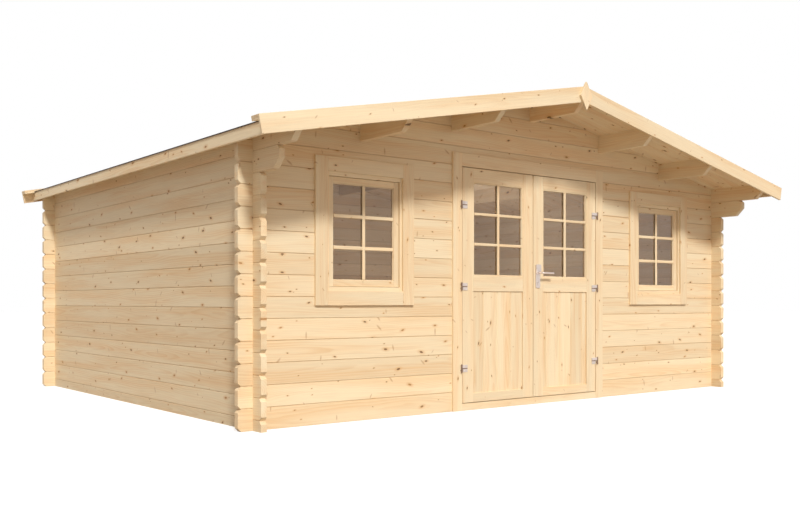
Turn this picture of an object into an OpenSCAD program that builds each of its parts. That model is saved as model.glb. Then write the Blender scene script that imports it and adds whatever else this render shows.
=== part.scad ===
// Garden log cabin: interlocking log walls, a low gable roof with a deep
// front overhang, glazed double door and two casement windows.
// Millimetres. X runs across the gable, Y from front to back, Z up.
// The origin lies on the ground, in the middle of the roof's outline.

/* [Log walls] */
// Width over the outer faces of the side walls
wall_w = 4800; // [4000:10:6000]
// Depth over the outer faces of the front and back walls
wall_l = 3800; // [2400:10:5400]
// Thickness of a wall log
log_t = 40; // [28:1:50]
// Height that one log adds to a wall
log_h = 135; // [110:1:165]
// How far the log ends stand out past the corner
log_end = 100; // [70:1:160]
// Depth of the bevels at a log's end
end_bevel = 22; // [8:1:30]
// Depth of the V joint between two logs
seam_v = 4; // [2:1:6]
// Whole logs in the front and back walls below the gable
courses = 13; // [12:1:16]

/* [Roof] */
// Pitch of the roof
roof_pitch = 11.3; // [8:0.1:20]
// Height of the roof boards' underside over the last whole log, at the wall's face
eave_rise = 50; // [45:1:90]
// Overhang of the roof boards at the front
front_oh = 507; // [380:1:800]
// Overhang of the roof boards at the back
back_oh = 105; // [105:1:400]
// Overhang of the eave over the side wall's face
eave_oh = 150; // [120:1:300]
// Thickness of the roof boards
roof_t = 18; // [15:1:28]
// Thickness of the bitumen shingles
shingle_t = 5; // [3:1:8]
// How far the shingles hang past the fascia
shingle_drip = 3; // [1:1:25]
// Width of the ridge strip on each slope
ridge_strip_w = 125; // [80:1:200]
// Distance that the upper corbel log's and purlins' front end is cut back
corbel_cut = 65; // [30:1:80]
// Reach of the lower corbel log in front of the wall
low_corbel = 310; // [180:1:330]

/* [Roof trim] */
// Width of a bargeboard
barge_w = 110; // [95:1:140]
// Thickness of a trim board
trim_t = 18; // [14:1:24]
// How far a bargeboard runs past the side wall's face
barge_end = 250; // [200:1:400]
// Height of the eave fascia
fascia_h = 75; // [50:1:110]
// Width of the capping board behind a bargeboard
cap_w = 72; // [50:1:110]
// Width of the diamond that covers the bargeboards' joint
finial_w = 124; // [80:1:150]
// Height of that diamond
finial_h = 206; // [150:1:240]

/* [Windows] */
// Distance of a window's middle from the middle of the front
window_x = 1563; // [1480:1:1600]
// Width of the opening inside the architrave
window_w = 608; // [450:1:640]
// Height of the opening inside the architrave
window_h = 766; // [500:1:900]
// How far the opening's top lies below the last whole log's top
window_drop = 140; // [100:1:250]
// Width of the architrave boards
window_trim_w = 94; // [60:1:110]
// Width of the fixed frame that shows at the sides
window_reveal = 18; // [8:1:30]
// Width of the sash members
sash_w = 40; // [30:1:70]
// Depth of the sash
sash_t = 34; // [25:1:40]
// Distance of the sash behind the wall's outer face
sash_set = 14; // [5:1:20]

/* [Door] */
// Width of the clear opening inside the door frame
door_w = 1450; // [1200:1:1460]
// How far the leaf's top lies below the last whole log's top
door_drop = 13; // [5:1:60]
// Width of the architrave beside the door
door_trim_w = 84; // [60:1:110]
// Height of the architrave board over the door
door_head_w = 95; // [60:1:110]
// Gap round each leaf
leaf_gap = 5; // [5:0.5:8]
// Gap between the two leaves where they meet
meet_gap = 7; // [7:0.5:10]
// Thickness of a leaf
leaf_t = 38; // [30:1:42]
// Width of a leaf's stiles
stile_w = 105; // [70:1:120]
// Height of a leaf's top rail
top_rail_h = 97; // [70:1:120]
// Height of a leaf's bottom rail
bottom_rail_h = 64; // [50:1:150]
// Height of a leaf's middle rail
mid_rail_h = 108; // [70:1:130]
// Height of the middle rail's top over the ground
mid_rail_top = 963; // [800:1:1100]
// Height of the threshold
sill_h = 50; // [45:1:70]
// Thickness of the boards round door and windows
casing_t = 16; // [12:1:20]

/* [Floor] */
// Thickness of the floor boards
floor_t = 19; // [15:1:28]
// Height of the floor bearers
bearer_h = 30; // [25:1:40]
// Number of floor bearers
bearers = 7; // [4:1:10]

/* [Ironmongery] */
// Radius of a hinge barrel
barrel_r = 6.5; // [5:0.5:8]
// Length of a hinge barrel
barrel_h = 56; // [40:1:90]
// Radius of a hinge pin
pin_r = 3.5; // [2.5:0.5:4]
// Distance of the lower hinge's middle from the leaf's bottom
low_hinge = 247; // [120:1:350]
// Distance of the upper hinge's middle from the leaf's top
high_hinge = 269; // [120:1:350]
// Height of the lever over the ground
lever_z = 1000; // [900:1:1040]
// Length of the lever from its spindle
lever_l = 124; // [90:1:150]

/* [Hidden] */
$fn = 32;

wood = "#E8C894";
shingle_colour = "#4A3B36";
glass_colour = "#8A776C";
zinc = "#B9BCC2";
eps = 1;

half_w = wall_w/2;
inner_w = half_w - log_t;
front_y = -(wall_l + back_oh - front_oh)/2;
back_y = front_y + wall_l;
roof_y0 = front_y - front_oh;
roof_y1 = back_y + back_oh;
wall_top = courses*log_h;
tan_p = tan(roof_pitch);
cos_p = cos(roof_pitch);
sin_p = sin(roof_pitch);
// Sloping faces that rest on each other lie this far apart, measured plumb
seat = 0.05;
// Heights of a sloping layer are measured plumb
deck_v = roof_t/cos_p;
shingle_v = shingle_t/cos_p;
cap_v = trim_t/cos_p;
notch = log_h/4;
purlin_step = (half_w - log_t/2)/3;
ridge_z = wall_top + eave_rise + half_w*tan_p;

sash_gap = 2;
frame_in = 20;
door_jamb_t = 30;
door_hole = door_w/2 + door_jamb_t;
leaf_top = wall_top - door_drop;
leaf_bottom = sill_h + leaf_gap;
leaf_front = front_y - casing_t + 2;
leaf_back = leaf_front + leaf_t;
leaf_out = door_w/2 - leaf_gap;
meet = meet_gap/2;
head_z = leaf_top + leaf_gap;
stop_w = 15;
panel_t = 22;
glass_t = 4;
window_top = wall_top - window_drop;
window_cut_w = window_w + 40;
window_cut_h = window_h + 40;
hinge_x = door_w/2 + 10;
hinge_y = front_y - casing_t - barrel_r - 0.5;
low_hinge_z = leaf_bottom + low_hinge;
high_hinge_z = leaf_top - high_hinge;
hinge_zs = [low_hinge_z, (low_hinge_z + high_hinge_z)/2, high_hinge_z];
hinge_play = 0.3;
hinge_plate_t = 4;
hinge_stem_r = 4;
handle_x = meet + 45;
plate_w = 48;
plate_h = 180;
plate_t = 5;
spindle_r = 4.5;
spindle_play = 1;
grip_gap = 50;

// Height of the roof boards' underside at a distance from the ridge
function soffit(x) = ridge_z - abs(x)*tan_p;

// ---------- helpers ----------

// A shape drawn in X and Z, run along Y between two places
module along_y(y0, y1)
    translate([0, y1, 0]) rotate([90, 0, 0]) linear_extrude(y1 - y0) children();

// A shape drawn in Y and Z, run along X between two places
module along_x(x0, x1)
    translate([x0, 0, 0]) rotate([90, 0, 90]) linear_extrude(x1 - x0) children();

// A rectangle between two corners
module rect(a, b)
    translate(a) square(b - a);

// A rectangle with rectangular hole, as a ring lying round the hole
module ring(a, b, margin)
    difference() {
        rect(a - [margin, margin], b + [margin, margin]);
        rect(a, b);
    }

// A square set on its corner, which cuts a V of the given depth
module vee(depth)
    rotate(45) square(depth*sqrt(2), center = true);

// The left-hand twin of a shape made for the right
module left_twin()
    mirror([1, 0, 0]) children();

// Everything below the roof boards, as a gable outline
module under_roof()
    translate([0, -seat]) polygon([
        [-wall_w, 0], [wall_w, 0], [wall_w, soffit(wall_w)],
        [0, ridge_z], [-wall_w, soffit(wall_w)]
    ]);

// ---------- log walls ----------

// Right side wall between two heights and two ends; its logs start half a
// log low, and each is notched round the front and back logs that cross it
module side_logs(z0, z1, y0, y1)
    difference() {
        along_x(inner_w, half_w) difference() {
            rect([y0, z0], [y1, z1]);
            for (n = [0 : courses - 1], y = [front_y, back_y - log_t])
                rect([y, n*log_h + notch], [y + log_t, n*log_h + 3*notch]);
            for (n = [0 : courses], y = [y0, y1])
                translate([y, (n + 0.5)*log_h]) vee(end_bevel);
        }
        for (n = [0 : courses - 1], x = [inner_w, half_w])
            along_y(y0 - eps, y1 + eps) translate([x, (n + 0.5)*log_h]) vee(seam_v);
    }

// A 45 degree cut under the front end of a log that reaches forward
module corbel_nose(y, z)
    along_x(-wall_w, wall_w)
        polygon([[y - eps, z - eps], [y + corbel_cut + eps, z - eps], [y - eps, z + corbel_cut + eps]]);

corbel_z = (courses - 1.5)*log_h;
plate_z = (courses - 0.5)*log_h;

module side_wall()
    color(wood) side_logs(0, corbel_z, front_y - log_end, back_y + log_end);

module corbel_log()
    color(wood) difference() {
        side_logs(corbel_z, plate_z, front_y - low_corbel, back_y + log_end);
        corbel_nose(front_y - low_corbel, corbel_z);
    }

module wall_plate()
    color(wood) difference() {
        intersection() {
            side_logs(plate_z, wall_top + log_h, roof_y0, back_y + log_end);
            along_y(roof_y0 - eps, roof_y1) under_roof();
        }
        corbel_nose(roof_y0, plate_z);
    }

// Outline in X and Z of the logs that make the front and back walls' right half
module gable_logs(x0)
    difference() {
        rect([x0, 0], [half_w + log_end, wall_top]);
        for (n = [0 : courses])
            rect([inner_w, n*log_h - notch], [half_w, n*log_h + notch]);
        for (n = [0 : courses])
            translate([half_w + log_end, n*log_h]) vee(end_bevel);
    }

// The V joints on both faces of a front or back wall, from one log to another
module wall_seams(y, first, last)
    for (n = [first : last], face = [y, y + log_t])
        along_x(-wall_w, wall_w) translate([face, n*log_h]) vee(seam_v);

module front_wall_part()
    color(wood) difference() {
        along_y(front_y, front_y + log_t) difference() {
            gable_logs(door_hole);
            rect(
                [window_x - window_cut_w/2, window_top - window_h - 20],
                [window_x + window_cut_w/2, window_top + 20]
            );
        }
        wall_seams(front_y, 1, courses);
    }

module back_wall()
    color(wood) difference() {
        along_y(back_y - log_t, back_y) union() {
            gable_logs(-eps);
            mirror([1, 0]) gable_logs(-eps);
        }
        wall_seams(back_y - log_t, 1, courses);
    }

// The slot that a purlin takes in the gable, open at the top
module purlin_slot(x)
    rect([x - log_t/2, soffit(x) - log_h], [x + log_t/2, ridge_z + log_h]);

// Outline of one purlin: a log on edge whose top is planed to the slope
module purlin_outline(x)
    intersection() {
        purlin_slot(x);
        under_roof();
    }

// Gable above the last whole log, cut out for the purlins
module gable(y, hole)
    color(wood) difference() {
        along_y(y, y + log_t) difference() {
            intersection() {
                rect([-inner_w, wall_top], [inner_w, ridge_z]);
                under_roof();
            }
            for (k = [-2 : 2])
                purlin_slot(k*purlin_step);
            if (hole)
                rect([-door_hole, 0], [door_hole, head_z + door_jamb_t]);
        }
        wall_seams(y, courses, courses + ceil((ridge_z - wall_top)/log_h));
    }

// ---------- roof ----------

module purlin(x)
    color(wood) difference() {
        along_y(roof_y0, roof_y1) purlin_outline(x);
        corbel_nose(roof_y0, soffit(x) - log_h);
    }

// Outline of a layer on the right slope: plumb height over the underside,
// plumb thickness and distance of its outer edge from the ridge
module slope_layer(lift, thick, x_end)
    polygon([
        [0, ridge_z + lift], [x_end, soffit(x_end) + lift],
        [x_end, soffit(x_end) + lift + thick], [0, ridge_z + lift + thick]
    ]);

eave_x = half_w + eave_oh;
// Plumb heights of the shingles' and the ridge strip's undersides over the soffit
shingle_lift = deck_v + seat;
strip_lift = shingle_lift + shingle_v + seat;

module roof_boards()
    color(wood) along_y(roof_y0, roof_y1) slope_layer(0, deck_v, eave_x - trim_t);

module shingles()
    color(shingle_colour) along_y(roof_y0, roof_y1)
        slope_layer(shingle_lift, shingle_v, eave_x + shingle_drip);

module ridge_strip()
    color(shingle_colour) along_y(roof_y0 + cap_w, roof_y1 - cap_w) union() {
        slope_layer(strip_lift, shingle_v, ridge_strip_w);
        mirror([1, 0]) slope_layer(strip_lift, shingle_v, ridge_strip_w);
    }

module eave_fascia()
    color(wood) along_y(roof_y0, roof_y1) polygon([
        [eave_x - trim_t, soffit(eave_x) + deck_v - fascia_h],
        [eave_x, soffit(eave_x) + deck_v - fascia_h],
        [eave_x, soffit(eave_x) + deck_v],
        [eave_x - trim_t, soffit(eave_x - trim_t) + deck_v]
    ]);

// Top edge of the bargeboards, level with the capping boards
barge_top = strip_lift + cap_v;
barge_x = half_w + barge_end;

// A board along the right slope, square at its outer end
module slope_board(width)
    polygon([
        [0, ridge_z + barge_top], [barge_x, soffit(barge_x) + barge_top],
        [barge_x - width*sin_p, soffit(barge_x) + barge_top - width*cos_p],
        [0, ridge_z + barge_top - width/cos_p]
    ]);

module bargeboard(y)
    color(wood) along_y(y, y + trim_t) slope_board(barge_w);

module verge_caps()
    color(wood) for (y = [roof_y0, roof_y1 - cap_w])
        along_y(y, y + cap_w) slope_board(trim_t);

module finial(y)
    color(wood) along_y(y, y + trim_t)
        translate([0, ridge_z + barge_top + 30 - finial_h/2]) polygon([
            [-finial_w/2, 0], [0, -finial_h/2], [finial_w/2, 0], [0, finial_h/2]
        ]);

// ---------- floor ----------

module floor_boards()
    color(wood) translate([-inner_w, front_y + log_t, bearer_h])
        cube([2*inner_w, wall_l - 2*log_t, floor_t]);

bearer_w = 45;

module floor_bearers()
    color(wood) for (k = [0 : bearers - 1])
        translate([
            -inner_w,
            front_y + log_t + k*(wall_l - 2*log_t - bearer_w)/(bearers - 1),
            0
        ])
            cube([2*inner_w, bearer_w, bearer_h]);

// ---------- windows ----------

window_lo = [-window_w/2, window_top - window_h];
window_hi = [window_w/2, window_top];
sash_lo = window_lo + [window_reveal, window_reveal + 11];
sash_hi = window_hi - [window_reveal, window_reveal + 11];

// Both windows, from a shape drawn for the middle
module both_windows()
    for (side = [-1, 1])
        translate([side*window_x, 0, 0]) children();

module window_frame()
    color(wood) both_windows() along_y(front_y, front_y + log_t + frame_in) difference() {
        rect(window_lo - [20, 20], window_hi + [20, 20]);
        rect(sash_lo - [sash_gap, sash_gap], sash_hi + [sash_gap, sash_gap]);
    }

module window_architrave()
    color(wood) both_windows() along_y(front_y - casing_t, front_y)
        ring(window_lo, window_hi, window_trim_w);

module window_sash()
    color(wood) both_windows() along_y(front_y + sash_set, front_y + sash_set + sash_t) difference() {
        rect(sash_lo - [sash_gap, sash_gap], sash_hi + [sash_gap, sash_gap]);
        rect(sash_lo + [sash_w, sash_w], sash_hi - [sash_w, sash_w]);
    }

module window_pane()
    color(glass_colour, 0.6) both_windows()
        translate([0, front_y + sash_set + (sash_t - glass_t)/2, 0])
            along_y(0, glass_t) rect(sash_lo + [sash_w, sash_w], sash_hi - [sash_w, sash_w]);

// ---------- door ----------

module door_frame()
    color(wood) union() {
        along_y(front_y, front_y + log_t) difference() {
            rect([-door_hole, 0], [door_hole, head_z + door_jamb_t]);
            rect([-door_w/2, sill_h], [door_w/2, head_z]);
        }
        along_y(leaf_front, front_y + log_t) rect([-door_w/2, 0], [door_w/2, sill_h]);
    }

// Strips behind the leaves that they close against
module door_stops()
    color(wood) along_y(leaf_back + leaf_gap, front_y + log_t) difference() {
        rect([-door_w/2, sill_h], [door_w/2, head_z]);
        rect([-door_w/2 + stop_w, sill_h - eps], [door_w/2 - stop_w, head_z - stop_w]);
    }

module door_architrave()
    color(wood) along_y(front_y - casing_t, front_y) difference() {
        rect([-door_w/2 - door_trim_w, 0], [door_w/2 + door_trim_w, head_z + door_head_w]);
        rect([-door_w/2, -eps], [door_w/2, head_z]);
    }

// Frame of the right leaf, with its lower panel opening and its light
module leaf_frame(bored)
    color(wood) difference() {
        along_y(leaf_front, leaf_back) difference() {
            rect([meet, leaf_bottom], [leaf_out, leaf_top]);
            rect(panel_lo, panel_hi);
            rect(light_lo, light_hi);
        }
        if (bored)
            spindle_bore();
    }

panel_lo = [meet + stile_w, leaf_bottom + bottom_rail_h];
panel_hi = [leaf_out - stile_w, mid_rail_top - mid_rail_h];
light_lo = [meet + stile_w, mid_rail_top];
light_hi = [leaf_out - stile_w, leaf_top - top_rail_h];
leaf_mid = (leaf_front + leaf_back)/2;

module leaf_panel()
    color(wood) along_y(leaf_mid - panel_t/2, leaf_mid + panel_t/2) rect(panel_lo, panel_hi);

module leaf_glass()
    color(glass_colour, 0.6) along_y(leaf_mid - glass_t/2, leaf_mid + glass_t/2) rect(light_lo, light_hi);

// ---------- ironmongery ----------

// Leaf halves of the right leaf's hinges: a barrel over the pin, an arm that
// crosses the casing's edge and a plate on the leaf
module leaf_hinges()
    color(zinc) for (z = hinge_zs)
        difference() {
            union() {
                translate([hinge_x, hinge_y, z]) cylinder(r = barrel_r, h = barrel_h/2);
                translate([leaf_out - 12, hinge_y - 2, z]) cube([hinge_x - leaf_out + 12, 4, barrel_h/2]);
                translate([leaf_out - 12, hinge_y - 2, z]) cube([12, leaf_front - hinge_y + 2, barrel_h/2]);
                translate([leaf_out - 46, leaf_front - hinge_plate_t, z - barrel_h/2])
                    cube([46, hinge_plate_t, barrel_h]);
            }
            translate([hinge_x, hinge_y, z - eps]) cylinder(r = pin_r + hinge_play, h = barrel_h);
        }

// Frame halves of the hinges on one side: the pin in its own barrel, which a
// screwed-in stem holds on the casing
module frame_hinges()
    for (z = hinge_zs) {
        translate([hinge_x, hinge_y, z - barrel_h/2]) cylinder(r = barrel_r, h = barrel_h/2 - 0.5);
        translate([hinge_x, hinge_y, z - barrel_h/2]) cylinder(r = pin_r, h = barrel_h);
        translate([hinge_x, front_y - casing_t, z - barrel_h/4]) rotate([90, 0, 0])
            cylinder(r = hinge_stem_r, h = front_y - casing_t - hinge_y);
    }

module hinge_pins()
    color(zinc) union() {
        frame_hinges();
        left_twin() frame_hinges();
    }

// The hole that the lever's spindle turns in
module spindle_bore()
    translate([handle_x, 0, lever_z]) rotate([90, 0, 0])
        cylinder(r = spindle_r + spindle_play, h = 4*wall_l, center = true);

module handle_plate(y)
    along_y(y, y + plate_t)
        rect(
            [handle_x - plate_w/2, lever_z - 0.64*plate_h],
            [handle_x + plate_w/2, lever_z + 0.36*plate_h]
        );

module handle_plates()
    color(zinc) difference() {
        union() {
            handle_plate(leaf_front - plate_t);
            handle_plate(leaf_back);
        }
        spindle_bore();
    }

neck_r = 8;
grip_r = 8;

// One side's grip: a neck on the spindle and a bar that points away from the edge
module grip(y0, y1, y_bar)
    union() {
        translate([handle_x, y1, lever_z]) rotate([90, 0, 0]) cylinder(r = neck_r, h = y1 - y0);
        translate([handle_x, y_bar, lever_z]) rotate([0, 90, 0]) cylinder(r = grip_r, h = lever_l);
    }

module lever()
    color(zinc) union() {
        translate([handle_x, leaf_back + plate_t + grip_gap, lever_z]) rotate([90, 0, 0])
            cylinder(r = spindle_r, h = leaf_t + 2*plate_t + 2*grip_gap);
        grip(leaf_front - plate_t - grip_gap, leaf_front - plate_t - 1, leaf_front - plate_t - grip_gap);
        grip(leaf_back + plate_t + 1, leaf_back + plate_t + grip_gap, leaf_back + plate_t + grip_gap);
    }

// ---------- nodes ----------

left_twin() side_wall();  // left_wall
left_twin() corbel_log();  // left_corbel_log
left_twin() wall_plate();  // left_wall_plate
side_wall();  // right_wall
corbel_log();  // right_corbel_log
wall_plate();  // right_wall_plate
left_twin() front_wall_part();  // front_wall_left
front_wall_part();  // front_wall_right
gable(front_y, true);  // front_gable
back_wall();
gable(back_y - log_t, false);  // back_gable
purlin(0);  // ridge_purlin
left_twin() for (k = [1, 2]) purlin(k*purlin_step);  // left_purlins
for (k = [1, 2]) purlin(k*purlin_step);  // right_purlins
left_twin() roof_boards();  // left_roof_boards
roof_boards();  // right_roof_boards
left_twin() shingles();  // left_shingles
shingles();  // right_shingles
ridge_strip();  // ridge_shingles
left_twin() eave_fascia();  // left_eave_fascia
eave_fascia();  // right_eave_fascia
left_twin() bargeboard(roof_y0 - trim_t);  // front_left_bargeboard
bargeboard(roof_y0 - trim_t);  // front_right_bargeboard
left_twin() bargeboard(roof_y1);  // back_left_bargeboard
bargeboard(roof_y1);  // back_right_bargeboard
left_twin() verge_caps();  // left_verge_caps
verge_caps();  // right_verge_caps
union() {  // finials
    finial(roof_y0 - 2*trim_t);
    finial(roof_y1 + trim_t);
}
floor_boards();
floor_bearers();
window_frame();  // window_frames
window_architrave();  // window_architraves
window_sash();  // window_sashes
window_pane();  // window_glass
door_frame();
door_stops();
door_architrave();
hinge_pins();  // door_hinge_pins
left_twin() leaf_frame(false);  // left_leaf_frame
left_twin() leaf_panel();  // left_leaf_panel
left_twin() leaf_glass();  // left_leaf_glass
left_twin() leaf_hinges();  // left_leaf_hinges
leaf_frame(true);  // right_leaf_frame
leaf_panel();  // right_leaf_panel
leaf_glass();  // right_leaf_glass
leaf_hinges();  // right_leaf_hinges
handle_plates();
lever();  // lever_handle
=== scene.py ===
"""The finishes, boards, joinery, roof covering and ironmongery of a garden log cabin.

Sizes are metres, X across the gable, Y from front to back, Z up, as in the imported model.
"""

import math
from typing import NamedTuple

import bmesh
import bpy
import numpy as np
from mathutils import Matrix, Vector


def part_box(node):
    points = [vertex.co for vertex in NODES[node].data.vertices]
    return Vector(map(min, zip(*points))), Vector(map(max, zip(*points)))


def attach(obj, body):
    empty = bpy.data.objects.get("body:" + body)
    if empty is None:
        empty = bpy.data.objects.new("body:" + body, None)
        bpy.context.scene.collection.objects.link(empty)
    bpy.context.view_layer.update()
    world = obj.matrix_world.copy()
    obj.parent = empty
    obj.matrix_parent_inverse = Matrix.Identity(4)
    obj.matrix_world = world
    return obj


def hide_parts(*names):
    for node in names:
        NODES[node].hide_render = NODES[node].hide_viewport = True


bl_info = {
    "name": "Log Cabin Finishes",
    "version": (1, 0, 0),
    "blender": (4, 5, 0),
    "location": "View3D > Sidebar > Cabin",
    "description": "Boards, joinery, shingles, ironmongery and finishes of a garden log cabin",
    "category": "Add Mesh",
}

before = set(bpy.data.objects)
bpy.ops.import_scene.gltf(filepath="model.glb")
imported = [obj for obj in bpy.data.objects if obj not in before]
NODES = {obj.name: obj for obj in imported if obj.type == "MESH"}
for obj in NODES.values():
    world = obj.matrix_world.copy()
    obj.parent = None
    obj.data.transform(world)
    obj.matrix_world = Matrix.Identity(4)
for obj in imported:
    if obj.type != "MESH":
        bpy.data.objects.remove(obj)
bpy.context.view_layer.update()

X, Y, Z = np.eye(3)


def linear(code):
    """An sRGB hex colour as linear red, green and blue, for Blender's colour properties."""
    parts = (int(code[i : i + 2], 16) / 255 for i in (1, 3, 5))
    return tuple(c / 12.92 if c <= 0.04045 else ((c + 0.055) / 1.055) ** 2.4 for c in parts)


def colour(name, code, description):
    """A colour that a user may change."""
    return bpy.props.FloatVectorProperty(
        name=name, description=description, default=linear(code), min=0, max=1, subtype="COLOR"
    )


def length(name, default, description):
    """A length in metres that a user may change."""
    return bpy.props.FloatProperty(
        name=name, description=description, default=default, min=0, unit="LENGTH", precision=4
    )


def angle(name, degrees, description):
    """An angle, given in degrees, that a user may change."""
    return bpy.props.FloatProperty(
        name=name, description=description, default=math.radians(degrees), subtype="ANGLE"
    )


def amount(name, default, description, unit="NONE", least=0.0):
    """A strength, a power or the like that a user may change."""
    return bpy.props.FloatProperty(
        name=name, description=description, default=default, min=least, unit=unit
    )


# ---------- sizes and colours ----------


class CabinTimber(bpy.types.PropertyGroup):
    """Logs and boards of planed spruce"""

    early: colour("Early wood", "#F6E4C0", "Pale wood between the growth rings")
    late: colour("Late wood", "#DDB077", "Darker line at the end of each growth ring")
    warm: colour("Warm streak", "#F1CD9C", "Resin-rich streaks along the grain")
    knot: colour("Dead knot", "#64442B", "Middle of a dark knot")
    joint: colour("Joint", "#8A5A28", "Shade in the open joint between two logs")
    live_knot: colour("Live knot", "#AE7C48", "Middle of a pale knot")
    course: length("Log height", 0.135, "Height that one log adds to a wall")
    ring: length("Ring spacing", 0.011, "Distance between growth rings as drawn")
    edge: length("Eased edge", 0.0016, "Rounding on the edges of trim and joinery")
    floor_board: length("Floor board", 0.114, "Cover width of a floor board")
    vee: length("V joint", 0.0035, "Depth of the V between two matched boards")


class CabinRoof(bpy.types.PropertyGroup):
    """Roof boards, shingles and trim"""

    pitch: angle("Pitch", 11.3, "Slope of the roof")
    board: length("Roof board", 0.096, "Cover width of a roof board")
    board_t: length("Roof board thickness", 0.018, "Thickness of roof and trim boards")
    tab: length("Shingle tab", 0.2, "Width of one shingle tab")
    slot: length("Shingle slot", 0.006, "Gap between two tabs")
    exposure: length("Exposure", 0.145, "Length of a shingle that shows")
    barge_w: length("Bargeboard", 0.11, "Width of a bargeboard")
    cap_w: length("Capping board", 0.072, "Width of the board that caps the roof's edge")
    packing: length("Packing piece", 0.012, "Thickness of the packing under a capping board's end")
    sheet: length("Shingle sheet", 0.0024, "Thickness of one layer of shingle")
    dark: colour("Shingle, dark", "#2E2522", "Darkest tabs")
    light: colour("Shingle, light", "#5B4A42", "Palest tabs")


class CabinJoinery(bpy.types.PropertyGroup):
    """Windows and doors"""

    window_w: length("Window opening width", 0.608, "Inside the architrave")
    window_h: length("Window opening height", 0.766, "Inside the architrave")
    window_side: length("Frame at the sides", 0.018, "Window frame that shows beside the sash")
    window_head: length("Frame over the sash", 0.029, "Window frame that shows over the sash")
    sash_gap: length("Sash gap", 0.002, "Gap between a sash and its frame")
    sash: length("Sash member", 0.04, "Width of the sash's stiles and rails")
    bead: length("Window bead", 0.006, "Width of the bead that holds a window's glass")
    bar: length("Window bar", 0.025, "Width of a window's glazing bar")
    door_bead: length("Door bead", 0.013, "Width of the bead that holds a leaf's glass")
    door_bar: length("Door bar", 0.022, "Width of a leaf's glazing bar")
    stand_off: length("Bar stand-off", 0.005, "Gap between the outer bars and the glass")
    stile: length("Leaf stile", 0.105, "Width of a door leaf's stiles")
    top_rail: length("Leaf top rail", 0.097, "Height of a leaf's top rail")
    bottom_rail: length("Leaf bottom rail", 0.064, "Height of a leaf's bottom rail")
    panel_board: length("Panel board", 0.1375, "Cover width of a matched board in a leaf")
    leaf_gap: length("Leaf gap", 0.005, "Gap between a door leaf and its frame")
    stop: length("Door stop", 0.015, "Width of the strips that the leaves close against")
    fine_edge: length("Fine edge", 0.0005, "Rounding on the edges of beads, bars and straps")


class CabinMetal(bpy.types.PropertyGroup):
    """Hinges, handle and glass"""

    zinc: colour("Zinc", "#DDD0C8", "Bright zinc plating")
    # Painted shade: the knuckles, stems and base plates are a darker, browner steel than the
    # straps, for the shade they lie in
    knuckle: colour("Knuckle", "#9A8270", "Oiled steel of the hinge's knuckles and base plates")
    hole: colour("Keyhole", "#26241F", "Dark inside of the lock")
    # Painted shade: the keyway is this dark colour on a thin sheet, not a hole
    glass: colour("Glass", "#E6D9CE", "Cast of the panes")
    edge: length("Metal edge", 0.0004, "Rounding on the edges of the knuckles and the lock")
    screw: length("Screw head", 0.0036, "Radius of a screw head")
    knuckle_r: length("Knuckle radius", 0.0065, "Radius of a hinge's knuckles")
    hinge_h: length("Hinge height", 0.056, "Height of a hinge")
    hinge_reach: length("Hinge reach", 0.045, "Length of a hinge's plate on the leaf")
    pad_t: length("Hinge pad", 0.004, "Thickness of a hinge's pads and strap")
    cover: length("Handle cover", 0.007, "Height of the raised cover over the lever's bearing")
    lock_drop: length("Lock drop", 0.072, "Distance of the lock below the lever")


class CabinStage(bpy.types.PropertyGroup):
    """Light, floor and camera"""

    sun: amount("Sun", 2.6, "Strength of the sun lamp")
    sun_tilt: angle("Sun's tilt", 48.1, "Angle between the sunlight and straight down")
    sun_turn: angle("Sun's turn", -21.3, "Turn of the sunlight to the left of straight back")
    softness: angle("Softness", 7.5, "Apparent size of the sun")
    sky: amount("Sky", 0.48, "Strength of the light from all round")
    sky_cast: colour("Sky cast", "#FFF0E8", "Colour of the light from all round")
    sky_slant: bpy.props.FloatVectorProperty(
        name="Sky slant",
        description="Share by which the light from all round grows along X, Y and Z",
        default=(0.14, -0.32, 0.24),
        min=-1,
        max=1,
    )
    room: amount("Room lamp", 19.0, "Power of the lamp inside the cabin", "POWER")
    room_cast: colour("Room lamp cast", "#E4F0FF", "Colour of the lamp inside the cabin")
    floor: colour("Floor", "#A6A099", "Pale floor as it lights the cabin")
    eye: bpy.props.FloatVectorProperty(
        name="Camera",
        description="Place of the camera",
        default=(-5.092, -6.603, 0.777),
        unit="LENGTH",
    )
    heading: angle("Heading", -37.894, "Turn of the camera to the left of straight back")
    lens: amount("Lens", 41.25, "Focal length of the camera", "CAMERA", 1.0)
    shift: amount("Shift", 0.04816, "Upward shift of the camera's view")


GROUPS = {
    "cabin_timber": CabinTimber,
    "cabin_roof": CabinRoof,
    "cabin_joinery": CabinJoinery,
    "cabin_metal": CabinMetal,
    "cabin_stage": CabinStage,
}

# ---------- meshes ----------


def fill_mesh(name, points, faces, attributes=None):
    """A closed mesh from an array of points and one array of corner numbers per kind of face,
    with its faces turned outwards. Attributes hold one value or vector per point."""
    points = np.asarray(points, np.float32).reshape(-1, 3)
    mesh = bpy.data.meshes.new(name)
    corners = np.concatenate([f.ravel() for f in faces]).astype(np.int32)
    sizes = np.concatenate([np.full(len(f), f.shape[1]) for f in faces])
    starts = np.concatenate(([0], np.cumsum(sizes)[:-1])).astype(np.int32)
    mesh.vertices.add(len(points))
    mesh.vertices.foreach_set("co", points.ravel())
    mesh.loops.add(len(corners))
    mesh.loops.foreach_set("vertex_index", corners)
    mesh.polygons.add(len(sizes))
    mesh.polygons.foreach_set("loop_start", starts)
    mesh.update(calc_edges=True)
    for key, values in (attributes or {}).items():
        values = np.asarray(values, np.float32)
        kind, field = ("FLOAT", "value") if values.ndim == 1 else ("FLOAT_VECTOR", "vector")
        mesh.attributes.new(key, kind, "POINT").data.foreach_set(field, values.ravel())
    shell = bmesh.new()
    shell.from_mesh(mesh)
    bmesh.ops.recalc_face_normals(shell, faces=shell.faces)
    shell.to_mesh(mesh)
    shell.free()
    return mesh


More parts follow.
